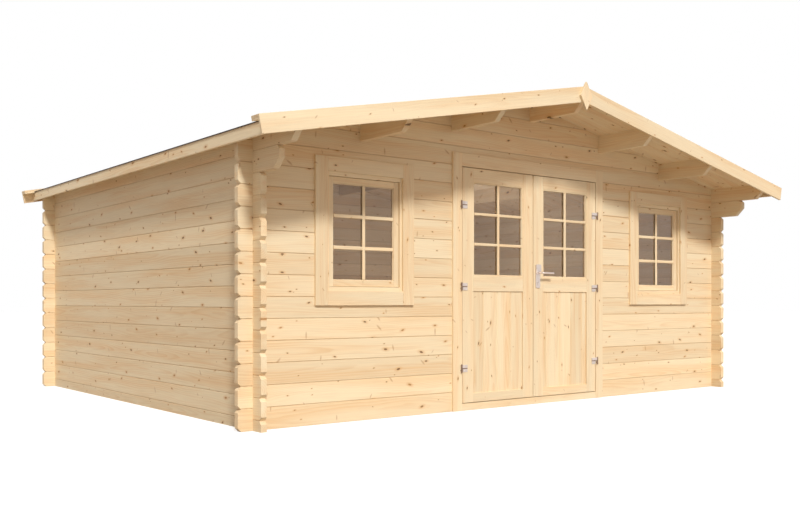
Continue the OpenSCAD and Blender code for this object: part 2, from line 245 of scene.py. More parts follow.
def show(
    name, shape, material, replaces=(), bevel=0.0, body="cabin", slot="spruce_boards", smooth=False
):
    """Makes the mesh of a shape and puts it in the scene, as a piece that rides on a body and
    stands for CAD nodes."""
    mesh = fill_mesh(name, *shape)
    piece = bpy.data.objects.new(name, mesh)
    bpy.context.scene.collection.objects.link(piece)
    mesh.materials.append(material)
    mesh.polygons.foreach_set("use_smooth", np.full(len(mesh.polygons), smooth))
    if bevel:
        ease = piece.modifiers.new("eased_edges", "BEVEL")
        ease.width, ease.segments, ease.limit_method = bevel, 2, "ANGLE"
        ease.angle_limit = math.radians(35)
    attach(piece, body)
    if replaces:
        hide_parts(*replaces)
    return piece


def joined(meshes):
    """Arrays of several shapes as one: points, faces by corner count and attributes."""
    points, faces, attributes, start = [], {}, {}, 0
    for shape_points, shape_faces, shape_attributes in meshes:
        flat = np.asarray(shape_points, float).reshape(-1, 3)
        for f in shape_faces:
            faces.setdefault(f.shape[1], []).append(f + start)
        for key, values in shape_attributes.items():
            attributes.setdefault(key, []).append(values)
        points.append(flat)
        start += len(flat)
    return (
        np.concatenate(points),
        [np.concatenate(group) for group in faces.values()],
        {key: np.concatenate(values) for key, values in attributes.items()},
    )


class Plank(NamedTuple):
    """A board: the line along the middle of its back face, the way its face looks, its width and
    thickness, and how far each end leans for each metre across and each metre through."""

    start: tuple
    end: tuple
    face: tuple
    width: float
    thickness: float
    start_lean: tuple = (0.0, 0.0)
    end_lean: tuple = (0.0, 0.0)


# Sections: corners as share of half the width, share of the thickness, and metres added to each
def square_section():
    """A plain rectangle."""
    return [(-1, 0, 0, 0), (1, 0, 0, 0), (1, 1, 0, 0), (-1, 1, 0, 0)]


def vee_section(depth, gap=0.0004):
    """A matched board: a rectangle with a bevel along both edges of its face."""
    return [
        (-1, 0, gap, 0),
        (1, 0, -gap, 0),
        (1, 1, -gap, -depth),
        (1, 1, -depth, 0),
        (-1, 1, depth, 0),
        (-1, 1, gap, -depth),
    ]


def bead_section(slope=0.005):
    """A glazing bead: a rectangle with the corner towards the glass cut back."""
    return [(-1, 0, 0, 0), (1, 0, 0, 0), (1, 0.35, 0, 0), (1, 1, -slope, 0), (-1, 1, 0, 0)]


def bar_section(slope=0.004):
    """A glazing bar: both sides lean in towards a narrow face."""
    return [
        (-1, 0, 0, 0),
        (1, 0, 0, 0),
        (1, 0.35, 0, 0),
        (1, 1, -slope, 0),
        (-1, 1, slope, 0),
        (-1, 0.35, 0, 0),
    ]


def plank_shape(planks, section, seed=0):
    """Boards as arrays. Each is its section carried along a straight line: a point is the line's
    end, plus across times v, plus face times t, plus along times the end's lean over v and t.
    The grain attribute holds distance along, across and through the board; board is its number."""
    column = lambda key: np.array([getattr(p, key) for p in planks], float)
    start, end, face = column("start"), column("end"), column("face")
    along = end - start
    along /= np.linalg.norm(along, axis=1, keepdims=True)
    across = np.cross(face, along)
    a, b, c, d = np.array(section, float).T
    v = a * column("width")[:, None] / 2 + c
    t = b * column("thickness")[:, None] + d
    rings = []
    for place, lean in ((start, column("start_lean")), (end, column("end_lean"))):
        u = lean[:, :1] * v + lean[:, 1:] * t
        base = place[:, None] + across[:, None] * v[..., None] + face[:, None] * t[..., None]
        rings.append(base + along[:, None] * u[..., None])
    points = np.stack(rings, 1)
    count, corners = len(planks), len(section)
    first = np.arange(count)[:, None] * 2 * corners
    k = np.arange(corners)
    sides = np.stack([k, (k + 1) % corners, (k + 1) % corners + corners, k + corners], 1)
    faces = [
        (first[:, :, None] + sides).reshape(-1, 4),
        np.concatenate([first + k[::-1], first + corners + k]),
    ]
    run = np.einsum("bekx,bx->bek", points - start[:, None, None], along)
    grain = np.stack([run, *np.broadcast_arrays(v[:, None], t[:, None], run)[:2]], -1)
    numbers = np.random.default_rng(seed).uniform(0, 400, count)
    return (
        points.reshape(-1, 3),
        faces,
        {"grain": grain.reshape(-1, 3), "board": np.repeat(numbers, 2 * corners)},
    )


def prism_shape(outline, near, far, seed=None):
    """A piece cut to an outline in X and Z, from one depth in Y to another. With a seed it is
    wood, whose grain runs up."""
    outline = np.asarray(outline, float)
    n = len(outline)
    ring = lambda y: np.stack([outline[:, 0], np.full(n, y), outline[:, 1]], 1)
    points = np.concatenate([ring(near), ring(far)])
    k = np.arange(n)
    sides = np.stack([k, (k + 1) % n, (k + 1) % n + n, k + n], 1)
    faces = [sides, np.stack([k[::-1], k + n])]
    if seed is None:
        return points, faces, {}
    grain = np.stack([points[:, 2], points[:, 0] - points[:, 0].mean(), points[:, 1] - near], 1)
    number = np.random.default_rng(seed).uniform(0, 400)
    return points, faces, {"grain": grain, "board": np.full(2 * n, number)}


def ring_planks(low, high, side_w, rail_w, back, depth, through="stiles"):
    """Four boards round an opening in the plane of X and Z, in the order bottom, right, top,
    left. They are mitred, or else the stiles or the rails run through."""
    (x0, z0), (x1, z1) = low, high
    face = (0, -1, 0)
    up_x = 0 if through == "rails" else rail_w
    out_x = side_w if through == "rails" else 0
    if through == "mitre":
        up_x, out_x = rail_w / 2, side_w / 2
    lean = ((1, 0), (-1, 0)) if through == "mitre" else ((0, 0), (0, 0))
    lines = (
        ((x0 - out_x, z0 - rail_w / 2), (x1 + out_x, z0 - rail_w / 2), rail_w),
        ((x1 + side_w / 2, z0 - up_x), (x1 + side_w / 2, z1 + up_x), side_w),
        ((x1 + out_x, z1 + rail_w / 2), (x0 - out_x, z1 + rail_w / 2), rail_w),
        ((x0 - side_w / 2, z1 + up_x), (x0 - side_w / 2, z0 - up_x), side_w),
    )
    return [
        Plank((xa, back, za), (xb, back, zb), face, width, depth, *lean)
        for (xa, za), (xb, zb), width in lines
    ]


def flipped(planks, plane):
    """The same boards mirrored in depth about a plane, for the inside of a leaf or sash."""
    turn = lambda p: (p[0], 2 * plane - p[1], p[2])
    return [p._replace(start=turn(p.end), end=turn(p.start), face=(0, 1, 0)) for p in planks]


def lathe_shape(centre, axis, profile, sides=28):
    """A turned piece: radius and height along the profile, carried round the axis. A point is the
    centre, plus height times the axis, plus radius times a direction that goes round it."""
    centre, axis = np.asarray(centre, float), np.asarray(axis, float)
    r, h = np.asarray(profile, float).T
    side = np.cross(axis, X if abs(axis[0]) < 0.9 else Y)
    side /= np.linalg.norm(side)
    turn = np.linspace(0, 2 * math.pi, sides, endpoint=False)
    spoke = np.cos(turn)[:, None] * side + np.sin(turn)[:, None] * np.cross(axis, side)
    points = centre + h[:, None, None] * axis + r[:, None, None] * spoke
    return points.reshape(-1, 3), tube_faces(len(profile), sides), {}


def tube_faces(rings, sides):
    """Quads between rings of points, and a cap on each end."""
    i, k = np.meshgrid(np.arange(rings - 1), np.arange(sides), indexing="ij")
    k2 = (k + 1) % sides
    near, far = i * sides, (i + 1) * sides
    quads = np.stack([near + k, near + k2, far + k2, far + k], -1)
    ends = np.stack([np.arange(sides)[::-1], (rings - 1) * sides + np.arange(sides)])
    return [quads.reshape(-1, 4), ends]


def tube_shape(path, radius, flat, up, sides=24):
    """A bar swept along a path: each ring is an ellipse square to the path, radius wide and
    radius times flat high."""
    path = np.asarray(path, float)
    along = np.gradient(path, axis=0)
    along /= np.linalg.norm(along, axis=1, keepdims=True)
    side = np.cross(along, up)
    side /= np.linalg.norm(side, axis=1, keepdims=True)
    lift = np.cross(side, along)
    turn = np.linspace(0, 2 * math.pi, sides, endpoint=False)
    radius = np.asarray(radius, float)[:, None, None]
    flat = np.asarray(flat, float)[:, None, None]
    spoke = side[:, None] * np.cos(turn)[:, None] + lift[:, None] * np.sin(turn)[:, None] * flat
    points = path[:, None] + radius * spoke
    return points.reshape(-1, 3), tube_faces(len(path), sides), {}


def rounded_rectangle(centre, width, height, radius, steps=5):
    """Outline with round corners: each corner is a quarter circle about its own centre."""
    turn = np.linspace(0, math.pi / 2, steps)
    corners = []
    for quarter, (sx, sz) in enumerate(((1, 1), (-1, 1), (-1, -1), (1, -1))):
        way = turn + quarter * math.pi / 2
        x = centre[0] + sx * (width / 2 - radius) + radius * np.cos(way)
        z = centre[1] + sz * (height / 2 - radius) + radius * np.sin(way)
        corners.append(np.stack([x, z], 1))
    return np.concatenate(corners)


def screw_shape(x, y, z, radius, side=-1):
    """A countersunk screw head: a low dome with a cross-shaped recess, whose height is a formula
    of the distance and direction from its middle. Side is the way it looks along Y."""
    rings, sides = 7, 24
    share = np.linspace(0, 1, rings)[:, None]
    turn = np.linspace(0, 2 * math.pi, sides, endpoint=False)[None]
    px, pz = radius * share * np.cos(turn), radius * share * np.sin(turn)
    slot = (np.minimum(abs(px), abs(pz)) < 0.16 * radius) & (share < 0.62)
    height = 0.0006 * (1 - share**2) + 0.0004 - 0.0009 * slot
    top = np.stack([x + px, y + side * height, z + pz], -1)
    base = top[-1:].copy()
    base[..., 1] = y - side * 0.0004
    points = np.concatenate([top, base])
    return points.reshape(-1, 3), tube_faces(rings + 1, sides), {}


# ---------- materials ----------


def add(tree, kind, *inputs, named=None, **settings):
    """Adds a node with its settings. Inputs come in order, or by name or number: a node or socket
    is linked, None leaves the input as it is, and anything else becomes its value."""
    node = tree.nodes.new("ShaderNode" + kind)
    for key, value in settings.items():
        setattr(node, key, value)
    for key, value in [*enumerate(inputs), *(named or {}).items()]:
        if value is None:
            continue
        if isinstance(value, bpy.types.Node):
            value = value.outputs[0]
        if isinstance(value, bpy.types.NodeSocket):
            tree.links.new(value, node.inputs[key])
        else:
            node.inputs[key].default_value = value
    return node


def new_group(name, inputs, outputs):
    """An empty node group with these sockets, and its input and output nodes."""
    tree = bpy.data.node_groups.new(name, "ShaderNodeTree")
    for way, sockets in (("INPUT", inputs), ("OUTPUT", outputs)):
        for socket, kind in sockets.items():
            tree.interface.new_socket(socket, in_out=way, socket_type="NodeSocket" + kind)
    return tree, tree.nodes.new("NodeGroupInput"), tree.nodes.new("NodeGroupOutput")


def knot_field(tree, along, across, board, cell, sizes, chance, stretch, turns):
    """Knots scattered one to a cell along the board, each an oval of its own size, turned its own
    way. Returns the distance from the nearest one as a share of its radius, how far the grain
    bends, and luck."""
    cell_along = add(tree, "Math", along, 1 / cell[0], operation="MULTIPLY")
    row = add(tree, "Math", board, 3.317, operation="MULTIPLY")
    cell_across = add(tree, "Math", across, 1 / cell[1], row, operation="MULTIPLY_ADD")
    place = add(tree, "CombineXYZ", cell_along, cell_across, 0.0)
    scatter = {"Vector": place, "Scale": 1.0, "Randomness": 0.9}
    cells = add(tree, "TexVoronoi", named=scatter, voronoi_dimensions="2D")
    luck = add(tree, "SeparateColor", cells.outputs["Color"])
    present = add(tree, "Math", luck.outputs[0], 1 - chance, operation="GREATER_THAN")
    radius = add(tree, "MapRange", luck.outputs[0], 1 - chance, 1.0, *sizes)
    radius = add(tree, "Math", radius, present, 0.0001, operation="MULTIPLY_ADD")
    offset = add(tree, "VectorMath", place, cells.outputs["Position"], operation="SUBTRACT")
    metres = add(tree, "VectorMath", offset, (*cell, 0.0), operation="MULTIPLY")
    turn = add(tree, "MapRange", luck.outputs[2], 0.0, 1.0, *turns)
    turned = {"Vector": metres, "Angle": turn.outputs[0]}
    turned = add(tree, "VectorRotate", named=turned, rotation_type="Z_AXIS")
    oval = add(tree, "VectorMath", turned, (1 / stretch, 1.0, 0.0), operation="MULTIPLY")
    span = add(tree, "VectorMath", oval, operation="LENGTH").outputs["Value"]
    near = add(tree, "Math", span, radius, operation="DIVIDE")
    long_oval = add(tree, "VectorMath", metres, (0.3, 0.7, 0.0), operation="MULTIPLY")
    reach = add(tree, "VectorMath", long_oval, operation="LENGTH").outputs["Value"]
    far = add(tree, "Math", reach, radius, operation="DIVIDE")
    fade = add(tree, "Math", far, 2.0, operation="POWER")
    fade = add(tree, "Math", fade, -0.5, operation="MULTIPLY")
    bend = add(tree, "Math", fade, operation="EXPONENT")
    sideways = add(tree, "SeparateXYZ", metres).outputs[1]
    return near, add(tree, "Math", sideways, bend, operation="MULTIPLY"), luck.outputs[1]


def spruce_figure(ring):
    """The figure of planed spruce. Growth rings lie round a pith that wanders behind the board,
    so they show as flames on its face and arcs on its end. They flow round each knot."""
    tree, source, sink = new_group(
        "spruce_figure",
        {"Grain": "Vector", "Board": "Float", "Knots": "Float"},
        {
            key: "Float"
            for key in ("Late", "Streak", "Tone", "Hue", "Knot", "Halo", "Live", "Fibre", "Spike")
        },
    )
    grain, board, knots = source.outputs[:3]
    parts = add(tree, "SeparateXYZ", grain)
    across, through = parts.outputs[1], parts.outputs[2]
    along = add(tree, "Math", board, 3.71, parts.outputs[0], operation="MULTIPLY_ADD")
    dice = add(tree, "TexWhiteNoise", None, board, noise_dimensions="1D")
    luck = add(tree, "SeparateColor", dice.outputs[1])
    slow = {"W": along, "Scale": 0.8, "Detail": 1.0}
    wander = add(tree, "TexNoise", named=slow, noise_dimensions="1D")
    drift = add(tree, "SeparateColor", wander.outputs[1])

    # Oval knots up to 31 mm long, pin knots up to 12 mm, and branches cut along their length,
    # all times the share in Knots
    ovals, level = ((0.3, 0.135), (0.0028, 0.0068), 0.58, 2.3), (-0.3, 0.3)
    near, shift, live = knot_field(tree, along, across, board, *ovals, level)
    pins = ((0.19, 0.07), (0.0015, 0.003), 0.22, 2.0)
    pin_near, pin_shift, _ = knot_field(tree, along, across, board, *pins, level)
    branches = ((0.5, 0.16), (0.003, 0.0075), 0.75, 3.8)
    spike, spike_shift, _ = knot_field(tree, along, across, board, *branches, (0.6, 2.5))
    shift = add(tree, "Math", shift, spike_shift, operation="ADD")
    shift = add(tree, "Math", shift, pin_shift, operation="ADD")
    rough = add(tree, "TexNoise", grain, named={"Scale": 160.0, "Detail": 1.0})
    ragged = add(tree, "Math", rough, 0.35, -0.175, operation="MULTIPLY_ADD")
    near = add(tree, "Math", near, ragged, operation="ADD")
    near = add(tree, "Math", near, knots, operation="DIVIDE")
    pin_near = add(tree, "Math", pin_near, knots, operation="DIVIDE")
    near = add(tree, "Math", near, pin_near, operation="MINIMUM")
    spike = add(tree, "Math", spike, ragged, operation="ADD")
    spike = add(tree, "Math", spike, knots, operation="DIVIDE")

    # Distance from the pith, counted in growth rings
    pith = add(tree, "Math", luck.outputs[0], 0.1, -0.05, operation="MULTIPLY_ADD")
    sway = add(tree, "Math", drift.outputs[0], 0.09, -0.045, operation="MULTIPLY_ADD")
    ring_x = add(tree, "Math", across, shift, operation="SUBTRACT")
    ring_x = add(tree, "Math", ring_x, pith, operation="ADD")
    ring_x = add(tree, "Math", ring_x, sway, operation="ADD")
    depth = add(tree, "Math", luck.outputs[1], 0.07, 0.02, operation="MULTIPLY_ADD")
    heave = add(tree, "Math", drift.outputs[1], 0.05, -0.025, operation="MULTIPLY_ADD")
    ring_y = add(tree, "Math", through, depth, operation="ADD")
    ring_y = add(tree, "Math", ring_y, heave, operation="ADD")
    flat = add(tree, "CombineXYZ", ring_x, ring_y, 0.0)
    reach = add(tree, "VectorMath", flat, operation="LENGTH").outputs["Value"]
    # Noise drawn out along the grain: the waver of the rings, the streaks and the fibres
    place = add(tree, "CombineXYZ", along, across, through)
    drawn_out = []
    for scale in ((3.0, 34.0, 34.0), (0.9, 13.0, 13.0), (5.0, 240.0, 240.0)):
        spread = add(tree, "VectorMath", place, scale, operation="MULTIPLY")
        drawn_out.append(add(tree, "TexNoise", spread, named={"Scale": 1.0, "Detail": 2.0}))
    waver, streak, fibre = drawn_out
    spacing = add(tree, "MapRange", luck.outputs[2], 0.0, 1.0, 0.75 / ring, 1.25 / ring)
    count = add(tree, "Math", reach, spacing, waver, operation="MULTIPLY_ADD")
    phase = add(tree, "Math", count, operation="FRACT")
    rise = add(tree, "MapRange", phase, 0.25, 0.9, 0.0, 1.0, interpolation_type="SMOOTHSTEP")
    drop = add(tree, "MapRange", phase, 0.92, 1.0, 1.0, 0.0)
    strength = add(tree, "MapRange", streak, 0.36, 0.64, 0.12, 1.3)
    late = add(tree, "Math", rise, drop, operation="MULTIPLY")
    late = add(tree, "Math", late, strength, operation="MULTIPLY")
    knot = add(tree, "MapRange", near, 0.8, 1.08, 1.0, 0.0, interpolation_type="SMOOTHSTEP")
    halo = add(tree, "MapRange", near, 1.0, 3.2, 1.0, 0.0, interpolation_type="SMOOTHSTEP")
    slash = add(tree, "MapRange", spike, 0.5, 1.3, 1.0, 0.0, interpolation_type="SMOOTHSTEP")
    results = (late, streak, luck.outputs[0], luck.outputs[1], knot, halo, live, fibre, slash)
    for socket, result in zip(sink.inputs, results):
        if isinstance(result, bpy.types.Node):
            result = result.outputs[0]
        tree.links.new(result, socket)
    return tree


def mix(tree, share, a, b, blend="MIX"):
    """The colour between two colours, as a socket."""
    return add(
        tree, "Mix", named={0: share, 6: a, 7: b}, data_type="RGBA", blend_type=blend
    ).outputs[2]


def solid(rgb):
    """A property's colour as a socket's value, with alpha."""
    return (*rgb, 1.0)


def new_material(name):
    """A material with an empty tree but for its surface shader."""
    material = bpy.data.materials.new(name)
    material.use_nodes = True
    tree = material.node_tree
    return material, tree, tree.nodes["Principled BSDF"]


def spruce(timber, grain, board, tree, shader, knots=1.0, contrast=1.0, joint=None):
    """Planed spruce: pale and matt, with a silky sheen where the planer has closed the grain.
    Early wood is nearly white, late wood tan, and the knots are brown with a tan halo."""
    figure = add(tree, "Group", node_tree=bpy.data.node_groups["spruce_figure"])
    tree.links.new(grain, figure.inputs["Grain"])
    tree.links.new(board, figure.inputs["Board"])
    figure.inputs["Knots"].default_value = knots
    out = figure.outputs
    rings = add(tree, "Math", out["Late"], 0.36 * contrast, operation="MULTIPLY")
    wood = mix(tree, rings, solid(timber.early), solid(timber.late))
    streaks = add(tree, "MapRange", out["Streak"], 0.42, 0.72, 0.0, 0.62 * contrast)
    wood = mix(tree, streaks, wood, solid(timber.warm))
    cast = add(tree, "Math", out["Hue"], 0.24, operation="MULTIPLY")
    wood = mix(tree, cast, wood, solid(timber.warm))
    fibres = add(tree, "MapRange", out["Fibre"], 0.3, 0.7, 0.95, 1.03)
    wood = mix(tree, 1.0, wood, fibres.outputs[0], "MULTIPLY")
    tones = add(tree, "MapRange", out["Tone"], 0.0, 1.0, 0.9, 1.04)
    wood = mix(tree, 1.0, wood, tones.outputs[0], "MULTIPLY")
    halo = add(tree, "Math", out["Halo"], 0.5, operation="MULTIPLY")
    wood = mix(tree, halo, wood, solid(timber.late))
    core = add(tree, "MapRange", out["Live"], 0.35, 0.65, 0.0, 1.0)
    core = mix(tree, core.outputs[0], solid(timber.knot), solid(timber.live_knot))
    slash = add(tree, "Math", out["Spike"], 0.45, operation="MULTIPLY")
    wood = mix(tree, slash, wood, solid(timber.live_knot))
    knot = add(tree, "Math", out["Knot"], 0.85, operation="MULTIPLY")
    wood = mix(tree, knot, wood, core)
    # Painted shade: a darker colour in the open joint between two logs
    if joint:
        wood = mix(tree, joint, wood, solid(timber.joint))
    tree.links.new(wood, shader.inputs["Base Color"])
    sheen = add(tree, "Math", out["Late"], 0.07, 0.56, operation="MULTIPLY_ADD")
    gloss = add(tree, "Math", out["Knot"], 0.12, sheen, operation="MULTIPLY_ADD")
    tree.links.new(gloss.outputs[0], shader.inputs["Roughness"])
    height = add(tree, "Math", out["Late"], 0.6, out["Fibre"], operation="MULTIPLY_ADD")
    bump = add(tree, "Bump", named={"Height": height, "Strength": 0.35, "Distance": 0.0006})
    tree.links.new(bump.outputs[0], shader.inputs["Normal"])
    shader.inputs["IOR"].default_value = 1.45
    shader.inputs["Specular IOR Level"].default_value = 0.3


def log_spruce(
    name, timber, run, middle, first, height, step=50.0, lean=0.0, joint=0.29, knots=1.0
):
    """Spruce logs, each with a figure of its own. Run is the axis that the logs lie along, first
    and height divide them by height, and middle and step do so across. Lean is the fall in height
    for each metre from the ridge, for logs that follow a slope, joint the depth of the shade
    between two logs, and knots their size."""
    material, tree, shader = new_material(name)
    place = add(tree, "SeparateXYZ", add(tree, "TexCoord").outputs["Object"])
    x, y, z = place.outputs[:3]
    along, cross = (x, y) if run == "X" else (y, x)
    level = add(tree, "Math", z, -first, operation="ADD")
    if lean:
        fall = add(tree, "Math", x, operation="ABSOLUTE")
        fall = add(tree, "Math", fall, lean, operation="MULTIPLY")
        level = add(tree, "Math", level, fall, operation="ADD")
    level = add(tree, "Math", level, 1 / height, operation="MULTIPLY")
    number = add(tree, "Math", level, operation="FLOOR")
    across = add(tree, "Math", level, operation="FRACT")
    across = add(tree, "Math", across, -0.5, operation="ADD")
    across = add(tree, "Math", across, height, operation="MULTIPLY")
    bay = add(tree, "Math", cross, 1 / step, 0.5 - middle / step, operation="MULTIPLY_ADD")
    column = add(tree, "Math", bay, operation="FLOOR")
    through = add(tree, "Math", bay, operation="FRACT")
    through = add(tree, "Math", through, -0.5, operation="ADD")
    through = add(tree, "Math", through, step, operation="MULTIPLY")
    number = add(tree, "Math", column, 37.0, number, operation="MULTIPLY_ADD")
    number = add(tree, "Math", number, 11.3 + 5.1 * len(name), operation="ADD")
    grain = add(tree, "CombineXYZ", along, across, through)
    # Two logs don't quite close at the bottom of the V between them, and the shade in that open
    # joint is painted as a darker colour
    edge = add(tree, "Math", across, operation="ABSOLUTE")
    painted_joint_shade = add(tree, "MapRange", edge, height / 2 - 0.0046, height / 2 - 0.0008, 0.0, joint)
    shade = painted_joint_shade.outputs[0]
    spruce(timber, grain.outputs[0], number.outputs[0], tree, shader, knots, joint=shade)
    return material


def board_spruce(name, timber, knots=0.7, contrast=1.0):
    """Spruce boards and joinery, whose grain follows each board."""
    material, tree, shader = new_material(name)
    grain = add(tree, "Attribute", attribute_name="grain").outputs["Vector"]
    board = add(tree, "Attribute", attribute_name="board").outputs["Fac"]
    spruce(timber, grain, board, tree, shader, knots, contrast)
    return material


def bitumen_shingle(roof):
    """Bitumen shingle strewn with crushed slate: dull, rough and speckled, each tab of its own
    shade. The 1 mm granules are drawn at 5 mm, so that they show."""
    material, tree, shader = new_material("bitumen_shingle_slate_granules")
    place = add(tree, "TexCoord").outputs["Object"]
    shade = add(tree, "Attribute", attribute_name="tone").outputs["Fac"]
    grit = add(tree, "TexVoronoi", place, named={"Scale": 200.0})
    speck = add(tree, "SeparateColor", grit.outputs["Color"])
    patch = add(tree, "TexNoise", place, named={"Scale": 7.0, "Detail": 3.0})
    share = add(tree, "Math", speck.outputs[0], 0.55, shade, operation="MULTIPLY_ADD")
    share = add(tree, "Math", patch, 0.3, share, operation="MULTIPLY_ADD")
    share = add(tree, "MapRange", share, 0.1, 1.6, 0.0, 1.0)
    stone = mix(tree, share.outputs[0], solid(roof.dark), solid(roof.light))
    tree.links.new(stone, shader.inputs["Base Color"])
    shader.inputs["Roughness"].default_value = 0.92
    relief = {"Height": grit.outputs["Distance"], "Strength": 0.6, "Distance": 0.0012}
    bump = add(tree, "Bump", named=relief)
    tree.links.new(bump.outputs[0], shader.inputs["Normal"])
    return material


def filmed_steel(name, hue, scale, detail, roughness, darkest):
    """Steel under a thin uneven film, which varies its gloss and its tone."""
    material, tree, shader = new_material(name)
    place = add(tree, "TexCoord").outputs["Object"]
    film = add(tree, "TexNoise", place, named={"Scale": scale, "Detail": detail})
    dull = add(tree, "MapRange", film, 0.3, 0.7, *roughness)
    tree.links.new(dull.outputs[0], shader.inputs["Roughness"])
    tint = add(tree, "MapRange", film, 0.3, 0.7, darkest, 1.0)
    tinted = mix(tree, 1.0, solid(hue), tint.outputs[0], "MULTIPLY")
    tree.links.new(tinted, shader.inputs["Base Color"])
    shader.inputs["Metallic"].default_value = 1.0
    return material


def zinc_steel(metal):
    """Bright zinc-plated pressed steel: a pale metal with a faint warm cloudiness."""
    return filmed_steel("zinc_plated_pressed_steel", metal.zinc, 90.0, 3.0, (0.26, 0.42), 0.9)


def knuckle_steel_with_painted_shade(metal):
    """Steel where the hinge turns: darker and browner than the plated straps, as painted shade on
    the knuckles, stems and base plates.
    """
    return filmed_steel("knuckle_steel_painted_shade", metal.knuckle, 120.0, 2.0, (0.42, 0.6), 0.85)


def keyway_painted_shade(metal):
    """The dark inside of a lock's keyway, painted as shade on a thin sheet over the cylinder's
    end.
    """
    material, tree, shader = new_material("lock_keyway_painted_shade")
    place = add(tree, "TexCoord").outputs["Object"]
    film = add(tree, "TexNoise", place, named={"Scale": 400.0})
    dull = add(tree, "MapRange", film, 0.3, 0.7, 0.4, 0.6)
    tree.links.new(dull.outputs[0], shader.inputs["Roughness"])
    shader.inputs["Base Color"].default_value = solid(metal.hole)
    return material


def pane_glass(metal):
    """Clear 4 mm float glass: smooth, with a slight brown cast from the film on its inside. The
    dark room shows through it."""
    material, tree, shader = new_material("clear_float_glass")
    place = add(tree, "TexCoord").outputs["Object"]
    haze = add(tree, "TexNoise", place, named={"Scale": 2.2, "Detail": 1.0})
    share = add(tree, "MapRange", haze, 0.35, 0.65, 0.94, 1.04)
    tint = mix(tree, 1.0, solid(metal.glass), share.outputs[0], "MULTIPLY")
    tree.links.new(tint, shader.inputs["Base Color"])
    shader.inputs["Roughness"].default_value = 0.0
    shader.inputs["IOR"].default_value = 1.52
    shader.inputs["Transmission Weight"].default_value = 1.0
    return material


def finish(*names, material):
    """Gives CAD nodes that keep their own shape a material."""
    for name in names:
        for material_slot in NODES[name].material_slots:
            material_slot.material = material


# ---------- places taken from the frame ----------

WALL_LOW, WALL_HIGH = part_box("front_wall_right")
FRONT = WALL_LOW.y
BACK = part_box("back_wall")[1].y
WALL_T = WALL_HIGH.y - WALL_LOW.y
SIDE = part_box("right_wall")[1].x
ROOF_LOW, ROOF_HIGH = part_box("right_roof_boards")
TRIM_LOW, TRIM_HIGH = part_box("window_architraves")
SASH_LOW, SASH_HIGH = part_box("window_sashes")
LEAF_LOW, LEAF_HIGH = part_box("right_leaf_frame")
LIGHT_LOW, LIGHT_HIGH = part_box("right_leaf_glass")
PANEL_LOW, PANEL_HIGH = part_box("right_leaf_panel")


class Slope:
    """One side of the roof: directions down it and square to it, and its ridge."""

    def __init__(self, side, roof):
        c, s = math.cos(roof.pitch), math.sin(roof.pitch)
        self.side = side
        self.cos, self.sin, self.tan = c, s, s / c
        self.down = np.array([side * c, 0, -s])
        self.up = np.array([side * s, 0, c])
        self.ridge = ROOF_HIGH.z - roof.board_t / c

    def at(self, s, n, y):
        """The point at a distance down the slope, a height square over the soffit, and a depth."""
        return np.array([0, y, self.ridge]) + s * self.down + n * self.up


def slope_sides(roof):
    """Both slopes with the word that names them."""
    return (("right", Slope(1, roof)), ("left", Slope(-1, roof)))


class Step(bpy.types.Operator):
    """What every step of the making shares"""

    bl_options = {"REGISTER", "UNDO"}

    def execute(self, context):
        scene = context.scene
        self.timber, self.roof = scene.cabin_timber, scene.cabin_roof
        self.joinery, self.metal = scene.cabin_joinery, scene.cabin_metal
        self.make()
        return {"FINISHED"}


# ---------- logs ----------


class CABIN_OT_logs(Step):
    """Finish the log walls, gables and purlins as planed spruce"""

    bl_idname = "cabin.logs"
    bl_label = "Finish logs"

    def make(self):
        timber = self.timber
        spruce_figure(timber.ring)
        course, half = timber.course, timber.course / 2
        middle = FRONT + WALL_T / 2
        front = log_spruce("planed_spruce_logs_front", timber, "X", middle, 0, course)
        finish("front_wall_left", "front_wall_right", "front_gable", material=front)
        middle = BACK - WALL_T / 2
        back = log_spruce("planed_spruce_logs_back", timber, "X", middle, 0, course)
        finish("back_wall", "back_gable", material=back)
        for word, side in (("left", -1), ("right", 1)):
            wall = side * (SIDE - WALL_T / 2)
            name = f"planed_spruce_logs_{word}"
            logs = log_spruce(name, timber, "Y", wall, half, course, joint=0.2)
            finish(f"{word}_wall", f"{word}_corbel_log", f"{word}_wall_plate", material=logs)
        low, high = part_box("ridge_purlin")
        step = (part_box("right_purlins")[1].x - high.x) / 2
        tan = math.tan(self.roof.pitch)
        name, first = "planed_spruce_purlins", low.z - half
        purlins = log_spruce(name, timber, "Y", 0, first, 2 * course, step, lean=tan, knots=1.4)
        finish("ridge_purlin", "left_purlins", "right_purlins", material=purlins)
        bearer = log_spruce("planed_spruce_bearers", timber, "X", 0, -0.01, course, 0.3)
        finish("floor_bearers", material=bearer)


class CABIN_OT_boards(Step):
    """Lay the roof boards and the floor boards"""

    bl_idname = "cabin.boards"
    bl_label = "Lay roof and floor boards"

    def make(self):
        timber, roof = self.timber, self.roof
        wood = board_spruce("planed_spruce_boards", timber, 1.4)
        depth = ROOF_HIGH.y - ROOF_LOW.y
        count = round(depth / roof.board)
        width = depth / count
        under = [(a, 1 - b, c, -d) for a, b, c, d in vee_section(timber.vee)]
        for index, (word, slope) in enumerate(slope_sides(roof)):
            run = ROOF_HIGH.x / slope.cos
            places = ROOF_LOW.y + (np.arange(count) + 0.5) * width
            lean = (0, -slope.tan)
            size = (width, roof.board_t)
            planks = [
                Plank(slope.at(0, 0, y), slope.at(run, 0, y), slope.up, *size, lean, lean)
                for y in places
            ]
            shape = plank_shape(planks, under, 11 + index)
            show(f"{word}_roof_boarding", shape, wood, [f"{word}_roof_boards"])
        low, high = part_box("floor_boards")
        count = round((high.x - low.x) / timber.floor_board)
        width = (high.x - low.x) / count
        thick = high.z - low.z
        planks = [
            Plank((x, low.y, low.z), (x, high.y, low.z), (0, 0, 1), width, thick)
            for x in low.x + (np.arange(count) + 0.5) * width
        ]
        shape = plank_shape(planks, vee_section(0.0015), 13)
        show("floor_planks", shape, wood, ["floor_boards"])


# ---------- roof covering ----------


